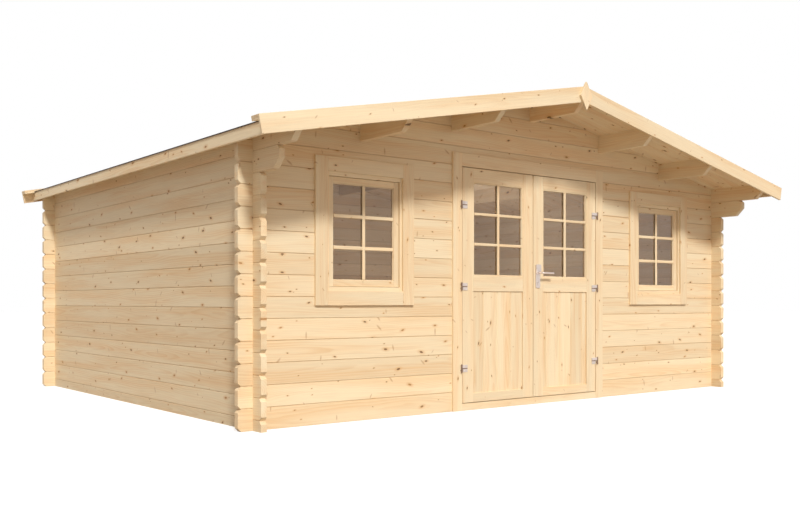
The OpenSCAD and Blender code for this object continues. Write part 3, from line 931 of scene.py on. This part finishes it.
def tab_boxes(slope, low_s, high_s, y0, y1, low_n, high_n, thick):
    """Thin slabs on a slope. Each runs up from its butt at low_s to high_s, where its underside
    lies at low_n and high_n over the soffit, and from y0 to y1 in depth. All are arrays."""
    s = np.stack([low_s, high_s], 1)[:, :, None, None]
    n = np.stack([low_n, high_n], 1)[:, :, None, None] + np.array([0, thick])[None, None, None]
    y = np.stack([y0, y1], 1)[:, None, :, None]
    s, n, y = np.broadcast_arrays(s, n, y)
    points = np.array([0, 0, slope.ridge]) + s[..., None] * slope.down + n[..., None] * slope.up
    points = points + y[..., None] * Y
    corner = np.arange(8).reshape(2, 2, 2)
    quads = []
    for axis in range(3):
        for end in (0, 1):
            q = np.take(corner, end, axis).ravel()[[0, 1, 3, 2]]
            quads.append(q if end else q[::-1])
    first = np.arange(len(low_s))[:, None, None] * 8
    return points.reshape(-1, 3), [(first + np.array(quads)).reshape(-1, 4)]


class CABIN_OT_shingles(Step):
    """Cover both slopes with tabbed bitumen shingles and the ridge with cap shingles"""

    bl_idname = "cabin.shingles"
    bl_label = "Lay shingles"

    def make(self):
        felt = bitumen_shingle(self.roof)
        for index, (word, slope) in enumerate(slope_sides(self.roof)):
            self.courses(word, slope, felt, 21 + index)
        self.caps(felt)

    def courses(self, word, slope, felt, seed):
        roof = self.roof
        random = np.random.default_rng(seed)
        low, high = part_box(f"{word}_shingles")
        eave = max(abs(low.x), abs(high.x)) / slope.cos
        base = (high.z - slope.ridge) * slope.cos - 2 * roof.sheet
        rows = int(eave / roof.exposure) + 1
        per_row = int((high.y - low.y) / roof.tab) + 2
        grid = np.meshgrid(np.arange(rows), np.arange(per_row), indexing="ij")
        row, place = (g.ravel() for g in grid)
        shift = np.where(row % 2, 0.0, -0.5) + random.uniform(-0.04, 0.04, rows)[row]
        y0 = np.clip(low.y + (place + shift) * roof.tab + roof.slot / 2, low.y, high.y)
        y1 = np.clip(low.y + (place + 1 + shift) * roof.tab - roof.slot / 2, low.y, high.y)
        butt = eave - row * roof.exposure - random.uniform(0, 0.003, len(row)) * (row > 0)
        top = np.maximum(butt - roof.exposure - 0.02, 0.03)
        keep = (y1 - y0 > 0.01) & (butt - top > 0.03)
        row, y0, y1, butt, top = row[keep], y0[keep], y1[keep], butt[keep], top[keep]
        one = np.ones(len(row))
        raised = one * (base + roof.sheet * 0.97)
        tabs = tab_boxes(slope, butt, top, y0, y1, raised, one * base, roof.sheet)
        tone = random.beta(2, 2.6, len(row))
        # The uncut part of each strip shows at the bottom of the slots
        strip_butt = eave - 0.004 - np.arange(rows) * roof.exposure
        strip_top = np.maximum(strip_butt - roof.exposure - 0.01, 0.02)
        near, far, flat = (np.full(rows, value) for value in (low.y, high.y, base))
        strips = tab_boxes(slope, strip_butt, strip_top, near, far, flat, flat, 0.0012)
        shape = joined(
            [
                (*tabs, {"tone": np.repeat(tone, 8)}),
                (*strips, {"tone": np.full(8 * rows, 0.2)}),
            ]
        )
        self.lay(f"{word}_shingle_courses", shape, felt, f"{word}_shingles")

    def lay(self, name, shape, felt, replaced):
        show(name, shape, felt, [replaced], self.roof.sheet / 4, slot="bitumen_shingles")

    def caps(self, felt):
        """Cap shingles bent over the ridge. Across, the height falls as the root of x squared
        plus a small radius squared, so that the bend is round; along, each cap climbs onto the
        one before."""
        roof = self.roof
        slope = Slope(1, roof)
        random = np.random.default_rng(23)
        low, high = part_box("ridge_shingles")
        count = int((high.y - low.y) / roof.exposure)
        step = (high.y - low.y) / count
        x = np.linspace(low.x, high.x, 13)
        bend = 0.012
        fall = (np.sqrt(x**2 + bend**2) - bend) * slope.tan
        top = high.z - 2 * roof.sheet / slope.cos
        i = np.arange(count)
        y = np.stack([low.y + i * step, np.minimum(low.y + (i + 1) * step + 0.02, high.y)], 1)
        lift = np.array([roof.sheet * 0.97, 0.0])
        layer = np.array([0, roof.sheet / slope.cos])
        z = top - fall[None, None, None] + (lift[:, None] + layer)[None, :, :, None]
        points = np.stack(np.broadcast_arrays(x, y[:, :, None, None], z), -1)
        n = len(x)
        k = np.arange(n - 1)
        # A cap's points are numbered by its end, then its face, then their place across
        point = lambda end, face, place: (end * 2 + face) * n + place
        loop = ((0, 0), (0, 1), (1, 1), (1, 0))
        quads = [np.stack([point(end, face, k + on) for end, on in loop], 1) for face in (0, 1)]
        quads += [np.stack([point(end, face, k + on) for face, on in loop], 1) for end in (0, 1)]
        for side in (0, n - 1):
            quads.append(np.array([[point(end, face, side) for face, end in loop]]))
        quads = np.concatenate(quads)
        faces = [(i[:, None, None] * 4 * n + quads).reshape(-1, 4)]
        tone = np.repeat(random.beta(2, 2.6, count), 4 * n)
        self.lay("ridge_cap_shingles", (points, faces, {"tone": tone}), felt, "ridge_shingles")


# ---------- roof trim ----------


class CABIN_OT_trim(Step):
    """Fix the fascias, bargeboards, capping boards and the diamonds at the gable tips"""

    bl_idname = "cabin.trim"
    bl_label = "Fix roof trim"

    def make(self):
        timber, roof = self.timber, self.roof
        wood = board_spruce("planed_spruce_trim", timber, 0.6, 0.8)
        # The fascias take the roof boards' spruce, whose late wood and streaks show more than the
        # trim's: a darker wood that paints shade on these faces, which the sun only grazes or
        # misses
        dull = bpy.data.materials["planed_spruce_boards"]
        edge = timber.edge
        thick = roof.board_t
        for index, (word, slope) in enumerate(slope_sides(roof)):
            side = slope.side
            low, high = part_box(f"{word}_eave_fascia")
            inner = high.x if side < 0 else low.x
            middle = (low.z + high.z) / 2
            start, end = ((inner, y, middle) for y in (low.y, high.y)[::side])
            plank = Plank(start, end, (side, 0, 0), high.z - low.z, thick)
            section = [(-1, 0, 0, 0), (1, 0, 0, 0), (1, 1, -thick * slope.tan, 0), (-1, 1, 0, 0)]
            shape = plank_shape([plank], section, 31 + index)
            show(f"{word}_fascia_board", shape, dull, [f"{word}_eave_fascia"], edge)
            self.gable_boards(word, slope, wood, 41 + 4 * index)
        low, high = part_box("finials")
        middle = (low.z + high.z) / 2
        outline = [(low.x, middle), (0, low.z), (high.x, middle), (0, high.z)]
        shapes = [
            prism_shape(outline, low.y, low.y + thick, 35),
            prism_shape(outline, high.y - thick, high.y, 36),
        ]
        show("gable_diamonds", joined(shapes), wood, ["finials"], edge)

    def gable_boards(self, word, slope, wood, seed):
        """A bargeboard and a capping board at each gable, both cut plumb at the ridge and square
        at the eave."""
        roof, edge = self.roof, self.timber.edge
        thick = roof.board_t
        low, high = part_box(f"front_{word}_bargeboard")
        top = (high.z - slope.ridge) * slope.cos
        outer = max(abs(low.x), abs(high.x))
        end = (outer - top * slope.sin) / slope.cos
        width = roof.barge_w
        middle = top - width / 2
        gables = (("front", high.y, -1), ("back", ROOF_HIGH.y, 1))
        for offset, (place, y, look) in enumerate(gables):
            across = np.cross((0, look, 0), slope.down) @ slope.up
            line = (slope.at(-middle * slope.tan, middle, y), slope.at(end, middle, y))
            plank = Plank(*line, (0, look, 0), width, thick, (-across * slope.tan, 0))
            name = f"{place}_{word}"
            shape = plank_shape([plank], square_section(), seed + offset)
            show(f"{name}_barge_plank", shape, wood, [f"{name}_bargeboard"], edge)
        cap_low, cap_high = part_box(f"{word}_verge_caps")
        under = top - thick
        cap_w = roof.cap_w
        places = (cap_low.y + cap_w / 2, cap_high.y - cap_w / 2)
        planks = []
        for y in places:
            line = (slope.at(-under * slope.tan, under, y), slope.at(end, under, y))
            planks.append(Plank(*line, slope.up, cap_w, thick, (0, -slope.tan)))
        # Past the shingles' edge a packing piece carries each capping board
        shingle_low, shingle_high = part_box(f"{word}_shingles")
        past = max(abs(shingle_low.x), abs(shingle_high.x)) / slope.cos + 0.004
        packed = under - roof.packing
        for y in places:
            line = (slope.at(past, packed, y), slope.at(end, packed, y))
            planks.append(Plank(*line, slope.up, cap_w, roof.packing))
        shape = plank_shape(planks, square_section(), seed + 2)
        show(f"{word}_capping_boards", shape, wood, [f"{word}_verge_caps"], edge)


# ---------- windows ----------


def glazing_bars(low, high, columns, rows, width, back, depth):
    """Bars that divide a light: the upright runs through and the level bars stop against it."""
    (x0, z0), (x1, z1) = low, high
    xs = np.linspace(x0, x1, columns + 1)
    zs = np.linspace(z0, z1, rows + 1)[1:-1]
    face = (0, -1, 0)
    planks = [Plank((x, back, z0), (x, back, z1), face, width, depth) for x in xs[1:-1]]
    for left, right in zip(xs[:-1], xs[1:]):
        # A level bar runs 2 mm into the upright one, and its face lies 0.8 mm behind
        a = left + (width / 2 - 0.002 if left > x0 else 0)
        b = right - (width / 2 - 0.002 if right < x1 else 0)
        planks += [Plank((a, back, z), (b, back, z), face, width, depth - 0.0008) for z in zs]
    return planks


def glazing(low, high, bead, bar, pane, front, stand_off):
    """Beads round a light and its bars, outside and inside the pane, 2 to 4 mm behind the faces
    of the sash or leaf. Low and high are the light's corners, pane its front and back in depth.
    Returns beads and bars as lists of boards."""
    inner_low, inner_high = np.array(low) + bead, np.array(high) - bead
    back, middle = pane[0], (pane[0] + pane[1]) / 2
    depth = back - front
    beads = ring_planks(inner_low, inner_high, bead, bead, back, depth - 0.003, "mitre")
    outer_depth = depth - stand_off - 0.002
    outer = glazing_bars(inner_low, inner_high, 2, 3, bar, back - stand_off, outer_depth)
    inner = glazing_bars(inner_low, inner_high, 2, 3, bar, back, depth - 0.004)
    return beads + flipped(beads, middle), outer + flipped(inner, middle)


class CABIN_OT_windows(Step):
    """Build the windows: lining, architrave, sash, beads and glazing bars"""

    bl_idname = "cabin.windows"
    bl_label = "Build windows"

    def make(self):
        timber, joinery = self.timber, self.joinery
        wood = board_spruce("planed_spruce_joinery", timber, 0.7, 0.85)
        edge = timber.edge
        half_w, half_h = joinery.window_w / 2, joinery.window_h / 2
        trim = (TRIM_HIGH.z - TRIM_LOW.z) / 2 - half_h
        centre_x = TRIM_HIGH.x - trim - half_w
        centre_z = (TRIM_LOW.z + TRIM_HIGH.z) / 2
        frame_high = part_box("window_frames")[1]
        pane = [corner.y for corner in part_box("window_glass")]
        sets = {"trim_boards": [], "linings": [], "sash_members": [], "beads": [], "bars": []}
        for side in (-1, 1):
            x = side * centre_x
            low = np.array([x - half_w, centre_z - half_h])
            high = np.array([x + half_w, centre_z + half_h])
            sets["trim_boards"] += ring_planks(low, high, trim, trim, FRONT, FRONT - TRIM_LOW.y)
            inset = np.array([joinery.window_side, joinery.window_head])
            sash_low, sash_high = low + inset, high - inset
            gap = joinery.sash_gap
            outer = frame_high.x - centre_x
            side_w = outer - half_w + joinery.window_side - gap
            rail_w = frame_high.z - centre_z - half_h + joinery.window_head - gap
            depth = frame_high.y - FRONT
            opening = (sash_low - gap, sash_high + gap)
            sets["linings"] += ring_planks(*opening, side_w, rail_w, frame_high.y, depth)
            sash = joinery.sash
            light = (sash_low + sash, sash_high - sash)
            sash_t = SASH_HIGH.y - SASH_LOW.y
            sets["sash_members"] += ring_planks(*light, sash, sash, SASH_HIGH.y, sash_t)
            sizes = (joinery.bead, joinery.bar)
            beads, bars = glazing(*light, *sizes, pane, SASH_LOW.y, joinery.stand_off)
            sets["beads"] += beads
            sets["bars"] += bars
        plain = square_section()
        parts = (
            ("trim_boards", plain, edge, ["window_architraves"]),
            ("linings", plain, edge, ["window_frames"]),
            ("sash_members", plain, edge, ["window_sashes"]),
            ("beads", bead_section(), joinery.fine_edge, []),
            ("bars", bar_section(), joinery.fine_edge, []),
        )
        for index, (key, section, bevel, replaced) in enumerate(parts):
            shape = plank_shape(sets[key], section, 51 + index)
            show(f"window_{key}", shape, wood, replaced, bevel)
        glass = pane_glass(self.metal)
        finish("window_glass", "left_leaf_glass", "right_leaf_glass", material=glass)


# ---------- door ----------


class CABIN_OT_door_surround(Step):
    """Build the door's lining, threshold and architrave"""

    bl_idname = "cabin.door_surround"
    bl_label = "Build door surround"

    def make(self):
        edge, joinery = self.timber.edge, self.joinery
        wood = bpy.data.materials["planed_spruce_joinery"]
        low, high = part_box("door_frame")
        trim_low, trim_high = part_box("door_architrave")
        gap = joinery.leaf_gap
        half = LEAF_HIGH.x + gap
        head = LEAF_HIGH.z + gap
        sill = LEAF_LOW.z - gap
        back = high.y
        face = (0, -1, 0)
        depth = back - FRONT
        jamb = high.x - half
        stop, stop_depth = joinery.stop, back - LEAF_HIGH.y - gap
        top = high.z - head
        upright = lambda x, y, z0, z1, *size: Plank((x, y, z0), (x, y, z1), face, *size)
        across = lambda reach, y, z, *size: Plank((-reach, y, z), (reach, y, z), face, *size)
        linings = [
            *(upright(s * (half + jamb / 2), back, 0, high.z, jamb, depth) for s in (-1, 1)),
            across(half, back, head + top / 2, top, depth),
            across(half, back, sill / 2, sill, back - low.y),
            *(upright(s * (half - stop / 2), back, sill, head, stop, stop_depth) for s in (-1, 1)),
            across(half - stop, back, head - stop / 2, stop, stop_depth),
        ]
        shape = plank_shape(linings, square_section(), 61)
        show("door_linings", shape, wood, ["door_frame", "door_stops"], edge)
        trim_w, head_w = trim_high.x - half, trim_high.z - head
        thick = FRONT - trim_low.y
        x = half + trim_w / 2
        boards = [
            *(upright(s * x, FRONT, 0, trim_high.z, trim_w, thick) for s in (-1, 1)),
            across(half, FRONT, head + head_w / 2, head_w, thick),
        ]
        shape = plank_shape(boards, square_section(), 62)
        show("door_trim_boards", shape, wood, ["door_architrave"], edge)


class CABIN_OT_door_leaves(Step):
    """Build both door leaves: stiles, rails, matched boards, beads and glazing bars"""

    bl_idname = "cabin.door_leaves"
    bl_label = "Build door leaves"

    def make(self):
        board_spruce("planed_spruce_matched_boards", self.timber, 1.05, 1.15)
        for index, (word, side) in enumerate((("right", 1), ("left", -1))):
            self.leaf(word, side, 71 + 10 * index)

    def leaf(self, word, side, seed):
        timber, joinery = self.timber, self.joinery
        wood = bpy.data.materials["planed_spruce_joinery"]
        matched = bpy.data.materials["planed_spruce_matched_boards"]
        low_z, high_z = LEAF_LOW.z, LEAF_HIGH.z
        back, front = LEAF_HIGH.y, LEAF_LOW.y
        depth = back - front
        face = (0, -1, 0)
        stile = joinery.stile
        x0, x1 = sorted((side * LEAF_LOW.x, side * LEAF_HIGH.x))
        members = [
            Plank((x, back, low_z), (x, back, high_z), face, stile, depth)
            for x in (x0 + stile / 2, x1 - stile / 2)
        ]
        rails = (
            (high_z - joinery.top_rail, high_z),
            (PANEL_HIGH.z, LIGHT_LOW.z),
            (low_z, low_z + joinery.bottom_rail),
        )
        a, b = x0 + stile, x1 - stile
        # The rails are a hair thinner than the stiles
        for z0, z1 in rails:
            z = (z0 + z1) / 2
            members.append(Plank((a, back, z), (b, back, z), face, z1 - z0, depth - 0.0004))
        beads, bars = glazing(
            (a, LIGHT_LOW.z),
            (b, LIGHT_HIGH.z),
            joinery.door_bead,
            joinery.door_bar,
            (LIGHT_LOW.y, LIGHT_HIGH.y),
            front,
            joinery.stand_off,
        )
        thick = PANEL_HIGH.y - PANEL_LOW.y
        # Both panels are laid from the same side, so the boards that start them differ in width
        first = 0.0465 if side > 0 else 0.107
        edges = np.arange(a + first, b - 0.01, joinery.panel_board)
        edges = np.concatenate([[a], edges, [b]])
        boards = []
        for p, q in zip(edges[:-1], edges[1:]):
            foot = np.array([(p + q) / 2, PANEL_HIGH.y, PANEL_LOW.z])
            boards.append(Plank(foot, (*foot[:2], PANEL_HIGH.z), face, q - p, thick))
        parts = (
            ("members", members, square_section(), timber.edge, wood, [f"{word}_leaf_frame"]),
            ("beads", beads, bead_section(), joinery.fine_edge, wood, []),
            ("bars", bars, bar_section(), joinery.fine_edge, wood, []),
            ("boarding", boards, vee_section(0.004), 0.0, matched, [f"{word}_leaf_panel"]),
        )
        for index, (key, planks, section, bevel, material, replaced) in enumerate(parts):
            shape = plank_shape(planks, section, seed + index)
            show(f"{word}_leaf_{key}", shape, material, replaced, bevel, f"{word}_leaf")


# ---------- ironmongery ----------


def barrel_profile(radius, height, ease=0.0008):
    """Radius and height of a straight turned piece with an eased edge at each end."""
    return [
        (0.0001, 0),
        (radius - ease, 0),
        (radius, ease),
        (radius, height - ease),
        (radius - ease, height),
        (0.0001, height),
    ]


def cap_profile(knuckle, share=0.8, height=0.003):
    """Radius and height of a hinge's cap: a quarter of an ellipse, a share of the knuckle's
    radius wide."""
    turn = np.linspace(0, math.pi / 2, 6)
    return [(max(share * knuckle * math.cos(t), 0.0001), height * math.sin(t)) for t in turn]


def plate_shape(x0, x1, z0, z1, back, thick, radius):
    """A flat plate with round corners, its back at a depth."""
    outline = rounded_rectangle(((x0 + x1) / 2, (z0 + z1) / 2), abs(x1 - x0), z1 - z0, radius)
    return prism_shape(outline, back - thick, back)


class CABIN_OT_hinges(Step):
    """Make the hinges: knuckles, caps, stems, straps, plates and screws"""

    bl_idname = "cabin.hinges"
    bl_label = "Make hinges"

    def make(self):
        # The straps are plated steel; the knuckles, stems and base plates take a darker steel that
        # paints their shade
        plated, shade_darkened_steel = zinc_steel(self.metal), knuckle_steel_with_painted_shade(self.metal)
        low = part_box("right_leaf_hinges")[0]
        pin_low, pin_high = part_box("door_hinge_pins")
        metal, fine = self.metal, self.joinery.fine_edge
        x, y = pin_high.x - metal.knuckle_r, low.y + metal.knuckle_r
        bottom, top = pin_low.z + metal.hinge_h / 2, pin_high.z - metal.hinge_h / 2
        fixed = []
        for word, side in (("right", 1), ("left", -1)):
            knuckles, straps = [], []
            for z in (bottom, (bottom + top) / 2, top):
                fixed += self.fixed_half(side * x, y, z)
                knuckles += self.knuckle_half(side * x, y, z, side)
                straps += self.strap_half(side * x, y, z, side)
            body, slot = f"{word}_leaf", "zinc_plated_steel"
            replaced = [f"{word}_leaf_hinges"]
            show(f"{word}_hinge_straps", joined(straps), plated, replaced, fine, body, slot)
            show(f"{word}_hinge_knuckles", joined(knuckles), shade_darkened_steel, (), metal.edge, body, slot)
        show("hinge_frame_halves", joined(fixed), shade_darkened_steel, ["door_hinge_pins"], fine, slot=slot)

    def fixed_half(self, x, y, z):
        """The lower knuckle with its cap, on a stem that is screwed into the casing."""
        radius, half = self.metal.knuckle_r, self.metal.hinge_h / 2
        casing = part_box("door_architrave")[0].y
        return [
            lathe_shape((x, y, z - half), Z, barrel_profile(radius, half - 0.0006)),
            lathe_shape((x, y, z - half), -Z, cap_profile(radius)),
            lathe_shape((x, casing, z - half / 2), -Y, barrel_profile(0.004, casing - y)),
            lathe_shape((x, casing, z - half / 2), -Y, barrel_profile(0.0075, 0.0012, 0.0004)),
        ]

    def knuckle_half(self, x, y, z, side):
        """The upper knuckle with its cap, and the base plate that shows between the strap's
        pads."""
        radius, half = self.metal.knuckle_r, self.metal.hinge_h / 2
        edge = side * LEAF_HIGH.x
        near, far = edge - side * 0.001, edge - side * self.metal.hinge_reach
        inset = 0.003
        low, high = z - half + inset, z + half - inset
        return [
            lathe_shape((x, y, z + 0.0002), Z, barrel_profile(radius, half - 0.0002)),
            lathe_shape((x, y, z + half), Z, cap_profile(radius)),
            plate_shape(near, far, low, high, LEAF_LOW.y, 0.0022, inset),
        ]

    def strap_half(self, x, y, z, side):
        """A strap that slopes from the upper knuckle over the casing's edge to the leaf, and two
        pads that are screwed to the leaf."""
        face, edge, half = LEAF_LOW.y, side * LEAF_HIGH.x, self.metal.hinge_h / 2
        foot, near = edge - side * 0.018, edge - side * 0.001
        far, thick = edge - side * self.metal.hinge_reach, self.metal.pad_t
        outline = [
            (x, y + thick / 2),
            (x, y - thick / 2),
            (edge, y - thick / 2),
            (foot, face - thick),
            (foot, face),
            (near, face),
            (near, y + thick / 2),
        ]
        points, faces, _ = prism_shape(outline, z + 0.0038, z + half - 0.0022)
        parts = [(points[:, [0, 2, 1]], faces, {})]
        reach = half / 2 - 0.003
        for level, outer in ((z - half / 2 - 0.0008, near), (z + half / 2 + 0.0008, foot)):
            low, high = level - reach, level + reach
            parts.append(plate_shape(outer, far, low, high, face, thick, 0.002))
            for across in (0.023, 0.037):
                place = (edge - side * across, face - thick, level)
                parts.append(screw_shape(*place, self.metal.screw))
        return parts


class CABIN_OT_handle(Step):
    """Make the long plates with their lock cylinder, and the lever"""

    bl_idname = "cabin.handle"
    bl_label = "Make handle"

    def make(self):
        metal = self.metal
        steel = bpy.data.materials["zinc_plated_pressed_steel"]
        low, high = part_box("handle_plates")
        lever_low, lever_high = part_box("lever_handle")
        centre_x = (low.x + high.x) / 2
        middle_z = (low.z + high.z) / 2
        spindle_z = (lever_low.z + lever_high.z) / 2
        width, height = high.x - low.x, high.z - low.z
        outline = rounded_rectangle((centre_x, middle_z), width, height, 0.012, 7)
        lock_z = spindle_z - metal.lock_drop
        plates, cores, keyways, grips = [], [], [], []
        # A raised cover stands over the lever's bearing
        cover_middle = (centre_x + 0.001, (spindle_z + high.z) / 2 - 0.006)
        cover = rounded_rectangle(cover_middle, 0.054, 0.076, 0.01)
        keyway = rounded_rectangle((centre_x, lock_z + 0.0005), 0.0022, 0.0088, 0.0008, 3)
        inset, play = 0.014, 0.0005
        for outer, inner, look in ((low.y, LEAF_LOW.y, -1), (high.y, LEAF_HIGH.y, 1)):
            cover_y = outer + look * metal.cover
            plates += [
                prism_shape(outline, outer, inner),
                prism_shape(cover, cover_y, outer),
                screw_shape(centre_x, outer, low.z + inset, metal.screw, look),
                screw_shape(centre_x, cover_y, high.z - inset, metal.screw, look),
            ]
            cores.append(self.cylinder(centre_x, lock_z, outer, look))
            # A thin dark sheet on each cylinder's end paints the shade inside the keyway
            keyways.append(prism_shape(keyway, outer + look * 0.0035, outer + look * 0.003))
            bearing = cover_y + look * play
            grips += self.grip(centre_x, spindle_z, bearing, look, lever_low, lever_high)
        start = (centre_x, lever_low.y + 0.01, spindle_z)
        bar = barrel_profile(0.0045, lever_high.y - lever_low.y - 0.02)
        spindle = lathe_shape(start, Y, bar)
        slot = "zinc_plated_steel"
        fixed = ("right_leaf", slot)
        show("handle_backplates", joined(plates), steel, ["handle_plates"], 2 * metal.edge, *fixed)
        show("lock_cylinder", joined(cores), steel, (), metal.edge, *fixed)
        show("lock_keyway", joined(keyways), keyway_painted_shade(metal), (), 0.0, *fixed)
        shape = joined([*grips, spindle])
        piece = show("lever_grips", shape, steel, ["lever_handle"], 0.0, "lever", slot, True)
        sharp = piece.modifiers.new("keep_sharp_edges", "EDGE_SPLIT")
        sharp.split_angle = math.radians(50)

    def cylinder(self, x, z, outer, look):
        """The end of a profile lock cylinder: a round plug over a narrow round-ended foot."""
        ends = outer + look * 0.003
        turn = np.linspace(-math.pi / 2 + 0.62, 3 * math.pi / 2 - 0.62, 21)
        plug = np.stack([x + 0.0085 * np.cos(turn), z + 0.0085 * np.sin(turn)], 1)
        turn = np.linspace(math.pi, 2 * math.pi, 9)
        foot = np.stack([x + 0.005 * np.cos(turn), z - 0.019 + 0.005 * np.sin(turn)], 1)
        return prism_shape(np.concatenate([plug, foot]), ends, outer)

    def grip(self, x, z, outer, look, low, high):
        """A lever: a rose and a neck square to the leaf, a quarter bend, and a bar that flattens
        towards its round end."""
        reach = high.x - x
        bar_y = low.y + 0.008 if look < 0 else high.y - 0.008
        bend = 0.011
        neck = np.linspace(outer + look * 0.001, bar_y - look * bend, 5)
        turn = np.linspace(0, math.pi / 2, 8)[1:]
        corner_x = x + bend * (1 - np.cos(turn))
        corner_y = bar_y - look * bend * (1 - np.sin(turn))
        bar = np.linspace(x + bend, x + reach - 0.004, 14)[1:]
        path = np.concatenate(
            [
                np.stack([np.full(5, x), neck, np.full(5, z)], 1),
                np.stack([corner_x, corner_y, np.full(7, z)], 1),
                np.stack([bar, np.full(13, bar_y), np.full(13, z)], 1),
            ]
        )
        share = np.linspace(0, 1, len(path))
        radius = 0.0078 - 0.0008 * share
        tip = np.array([0.86, 0.62, 0.2])
        radius = np.concatenate([radius, radius[-1] * tip])
        ends = [(x + reach - back, bar_y, z) for back in (0.002, 0.0007, 0.0)]
        path = np.concatenate([path, ends])
        flat = 1 + 0.12 * np.clip(np.linspace(-1, 1, len(path)), 0, 1)
        disc = [
            (0.0001, 0.0002),
            (0.0125, 0.0002),
            (0.0125, 0.0022),
            (0.011, 0.0034),
            (0.0001, 0.0034),
        ]
        return [tube_shape(path, radius, flat, Z), lathe_shape((x, outer, z), look * Y, disc)]


# ---------- stage ----------


def seen_rays(tree, operation):
    """How far a ray comes from the camera, a mirror or glass, and so shows the backdrop."""
    ray = add(tree, "LightPath").outputs
    seen = add(tree, "Math", ray["Is Camera Ray"], ray["Is Glossy Ray"], operation=operation)
    return add(tree, "Math", seen, ray["Is Transmission Ray"], operation=operation)


class CABIN_OT_stage(Step):
    """Set the floor, the light and the camera"""

    bl_idname = "cabin.stage"
    bl_label = "Set stage"

    def make(self):
        scene = bpy.context.scene
        stage = scene.cabin_stage
        self.floor(stage)
        self.world(scene, stage)
        sun = bpy.data.lights.new("sun", "SUN")
        sun.energy, sun.angle = stage.sun, stage.softness
        lamp = bpy.data.objects.new("sun", sun)
        scene.collection.objects.link(lamp)
        # The light comes from the front left, 42 degrees above the horizon
        lamp.rotation_euler = (stage.sun_tilt, 0, stage.sun_turn)
        self.room(scene, stage)
        camera = bpy.data.objects.new("camera", bpy.data.cameras.new("camera"))
        scene.collection.objects.link(camera)
        camera.location = stage.eye
        camera.rotation_euler = (math.radians(90), 0, stage.heading)
        camera.data.lens = stage.lens
        camera.data.shift_y = stage.shift
        scene.camera = camera
        scene.view_settings.view_transform = "Standard"

    def room(self, scene, stage):
        """A soft lamp right of the middle of the cabin, so that the wooden room shows through the
        panes. The camera, mirrors and glass don't see the lamp itself."""
        glow = bpy.data.lights.new("room", "POINT")
        glow.energy, glow.shadow_soft_size, glow.color = stage.room, 0.4, stage.room_cast
        lamp = bpy.data.objects.new("room", glow)
        lamp.location = (SIDE * 0.42, 0.3, 1.2)
        lamp.visible_camera = lamp.visible_glossy = lamp.visible_transmission = False
        scene.collection.objects.link(lamp)

    def floor(self, stage):
        """A wide pale floor. The camera and mirrors see it near white, but for the shadow."""
        reach = 60.0
        corners = reach * np.array([[-1, -1, 0], [1, -1, 0], [1, 1, 0], [-1, 1, 0]])
        mesh = bpy.data.meshes.new("floor")
        mesh.from_pydata(corners.tolist(), [], [(0, 1, 2, 3)])
        floor = bpy.data.objects.new("floor", mesh)
        bpy.context.scene.collection.objects.link(floor)
        material, tree, shader = new_material("pale_studio_floor")
        shader.inputs["Base Color"].default_value = solid(stage.floor)
        shader.inputs["Roughness"].default_value = 1.0
        shader.inputs["Specular IOR Level"].default_value = 0.0
        shader.inputs["Emission Color"].default_value = (1, 1, 1, 1)
        seen = seen_rays(tree, "ADD")
        glow = add(tree, "Math", seen, 0.78, operation="MULTIPLY")
        tree.links.new(glow.outputs[0], shader.inputs["Emission Strength"])
        mesh.materials.append(material)

    def world(self, scene, stage):
        """Light from all round, warm and brighter from the front and above. The camera, mirrors
        and glass see it as even white."""
        world = bpy.data.worlds.new("studio")
        scene.world = world
        world.use_nodes = True
        tree = world.node_tree
        seen = seen_rays(tree, "MAXIMUM")
        way = add(tree, "TexCoord").outputs["Generated"]
        slant = add(tree, "VectorMath", way, tuple(stage.sky_slant), operation="DOT_PRODUCT")
        growth = slant.outputs["Value"]
        even = add(tree, "Math", growth, stage.sky, stage.sky, operation="MULTIPLY_ADD")
        strength = add(tree, "MapRange", seen, 0.0, 1.0, even, 1.0)
        cast = mix(tree, seen, solid(stage.sky_cast), (1, 1, 1, 1))
        back = tree.nodes["Background"]
        tree.links.new(cast, back.inputs["Color"])
        tree.links.new(strength.outputs[0], back.inputs["Strength"])


STEPS = (
    CABIN_OT_logs,
    CABIN_OT_boards,
    CABIN_OT_shingles,
    CABIN_OT_trim,
    CABIN_OT_windows,
    CABIN_OT_door_surround,
    CABIN_OT_door_leaves,
    CABIN_OT_hinges,
    CABIN_OT_handle,
    CABIN_OT_stage,
)


class CABIN_PT_panel(bpy.types.Panel):
    """The steps in order, and the sizes and colours that they use"""

    bl_idname = "CABIN_PT_panel"
    bl_label = "Log cabin"
    bl_space_type = "VIEW_3D"
    bl_region_type = "UI"
    bl_category = "Cabin"

    def draw(self, context):
        for step in STEPS:
            self.layout.operator(step.bl_idname)
        for key, group in GROUPS.items():
            box = self.layout.box()
            for name in group.__annotations__:
                box.prop(getattr(context.scene, key), name)


def register():
    for group in GROUPS.values():
        bpy.utils.register_class(group)
    for key, group in GROUPS.items():
        setattr(bpy.types.Scene, key, bpy.props.PointerProperty(type=group))
    for step in (*STEPS, CABIN_PT_panel):
        bpy.utils.register_class(step)


def unregister():
    for step in reversed((*STEPS, CABIN_PT_panel)):
        bpy.utils.unregister_class(step)
    for key in GROUPS:
        delattr(bpy.types.Scene, key)
    for group in reversed(list(GROUPS.values())):
        bpy.utils.unregister_class(group)


def main():
    register()
    for step in STEPS:
        group, name = step.bl_idname.split(".")
        getattr(getattr(bpy.ops, group), name)()


if __name__ == "__main__":
    main()
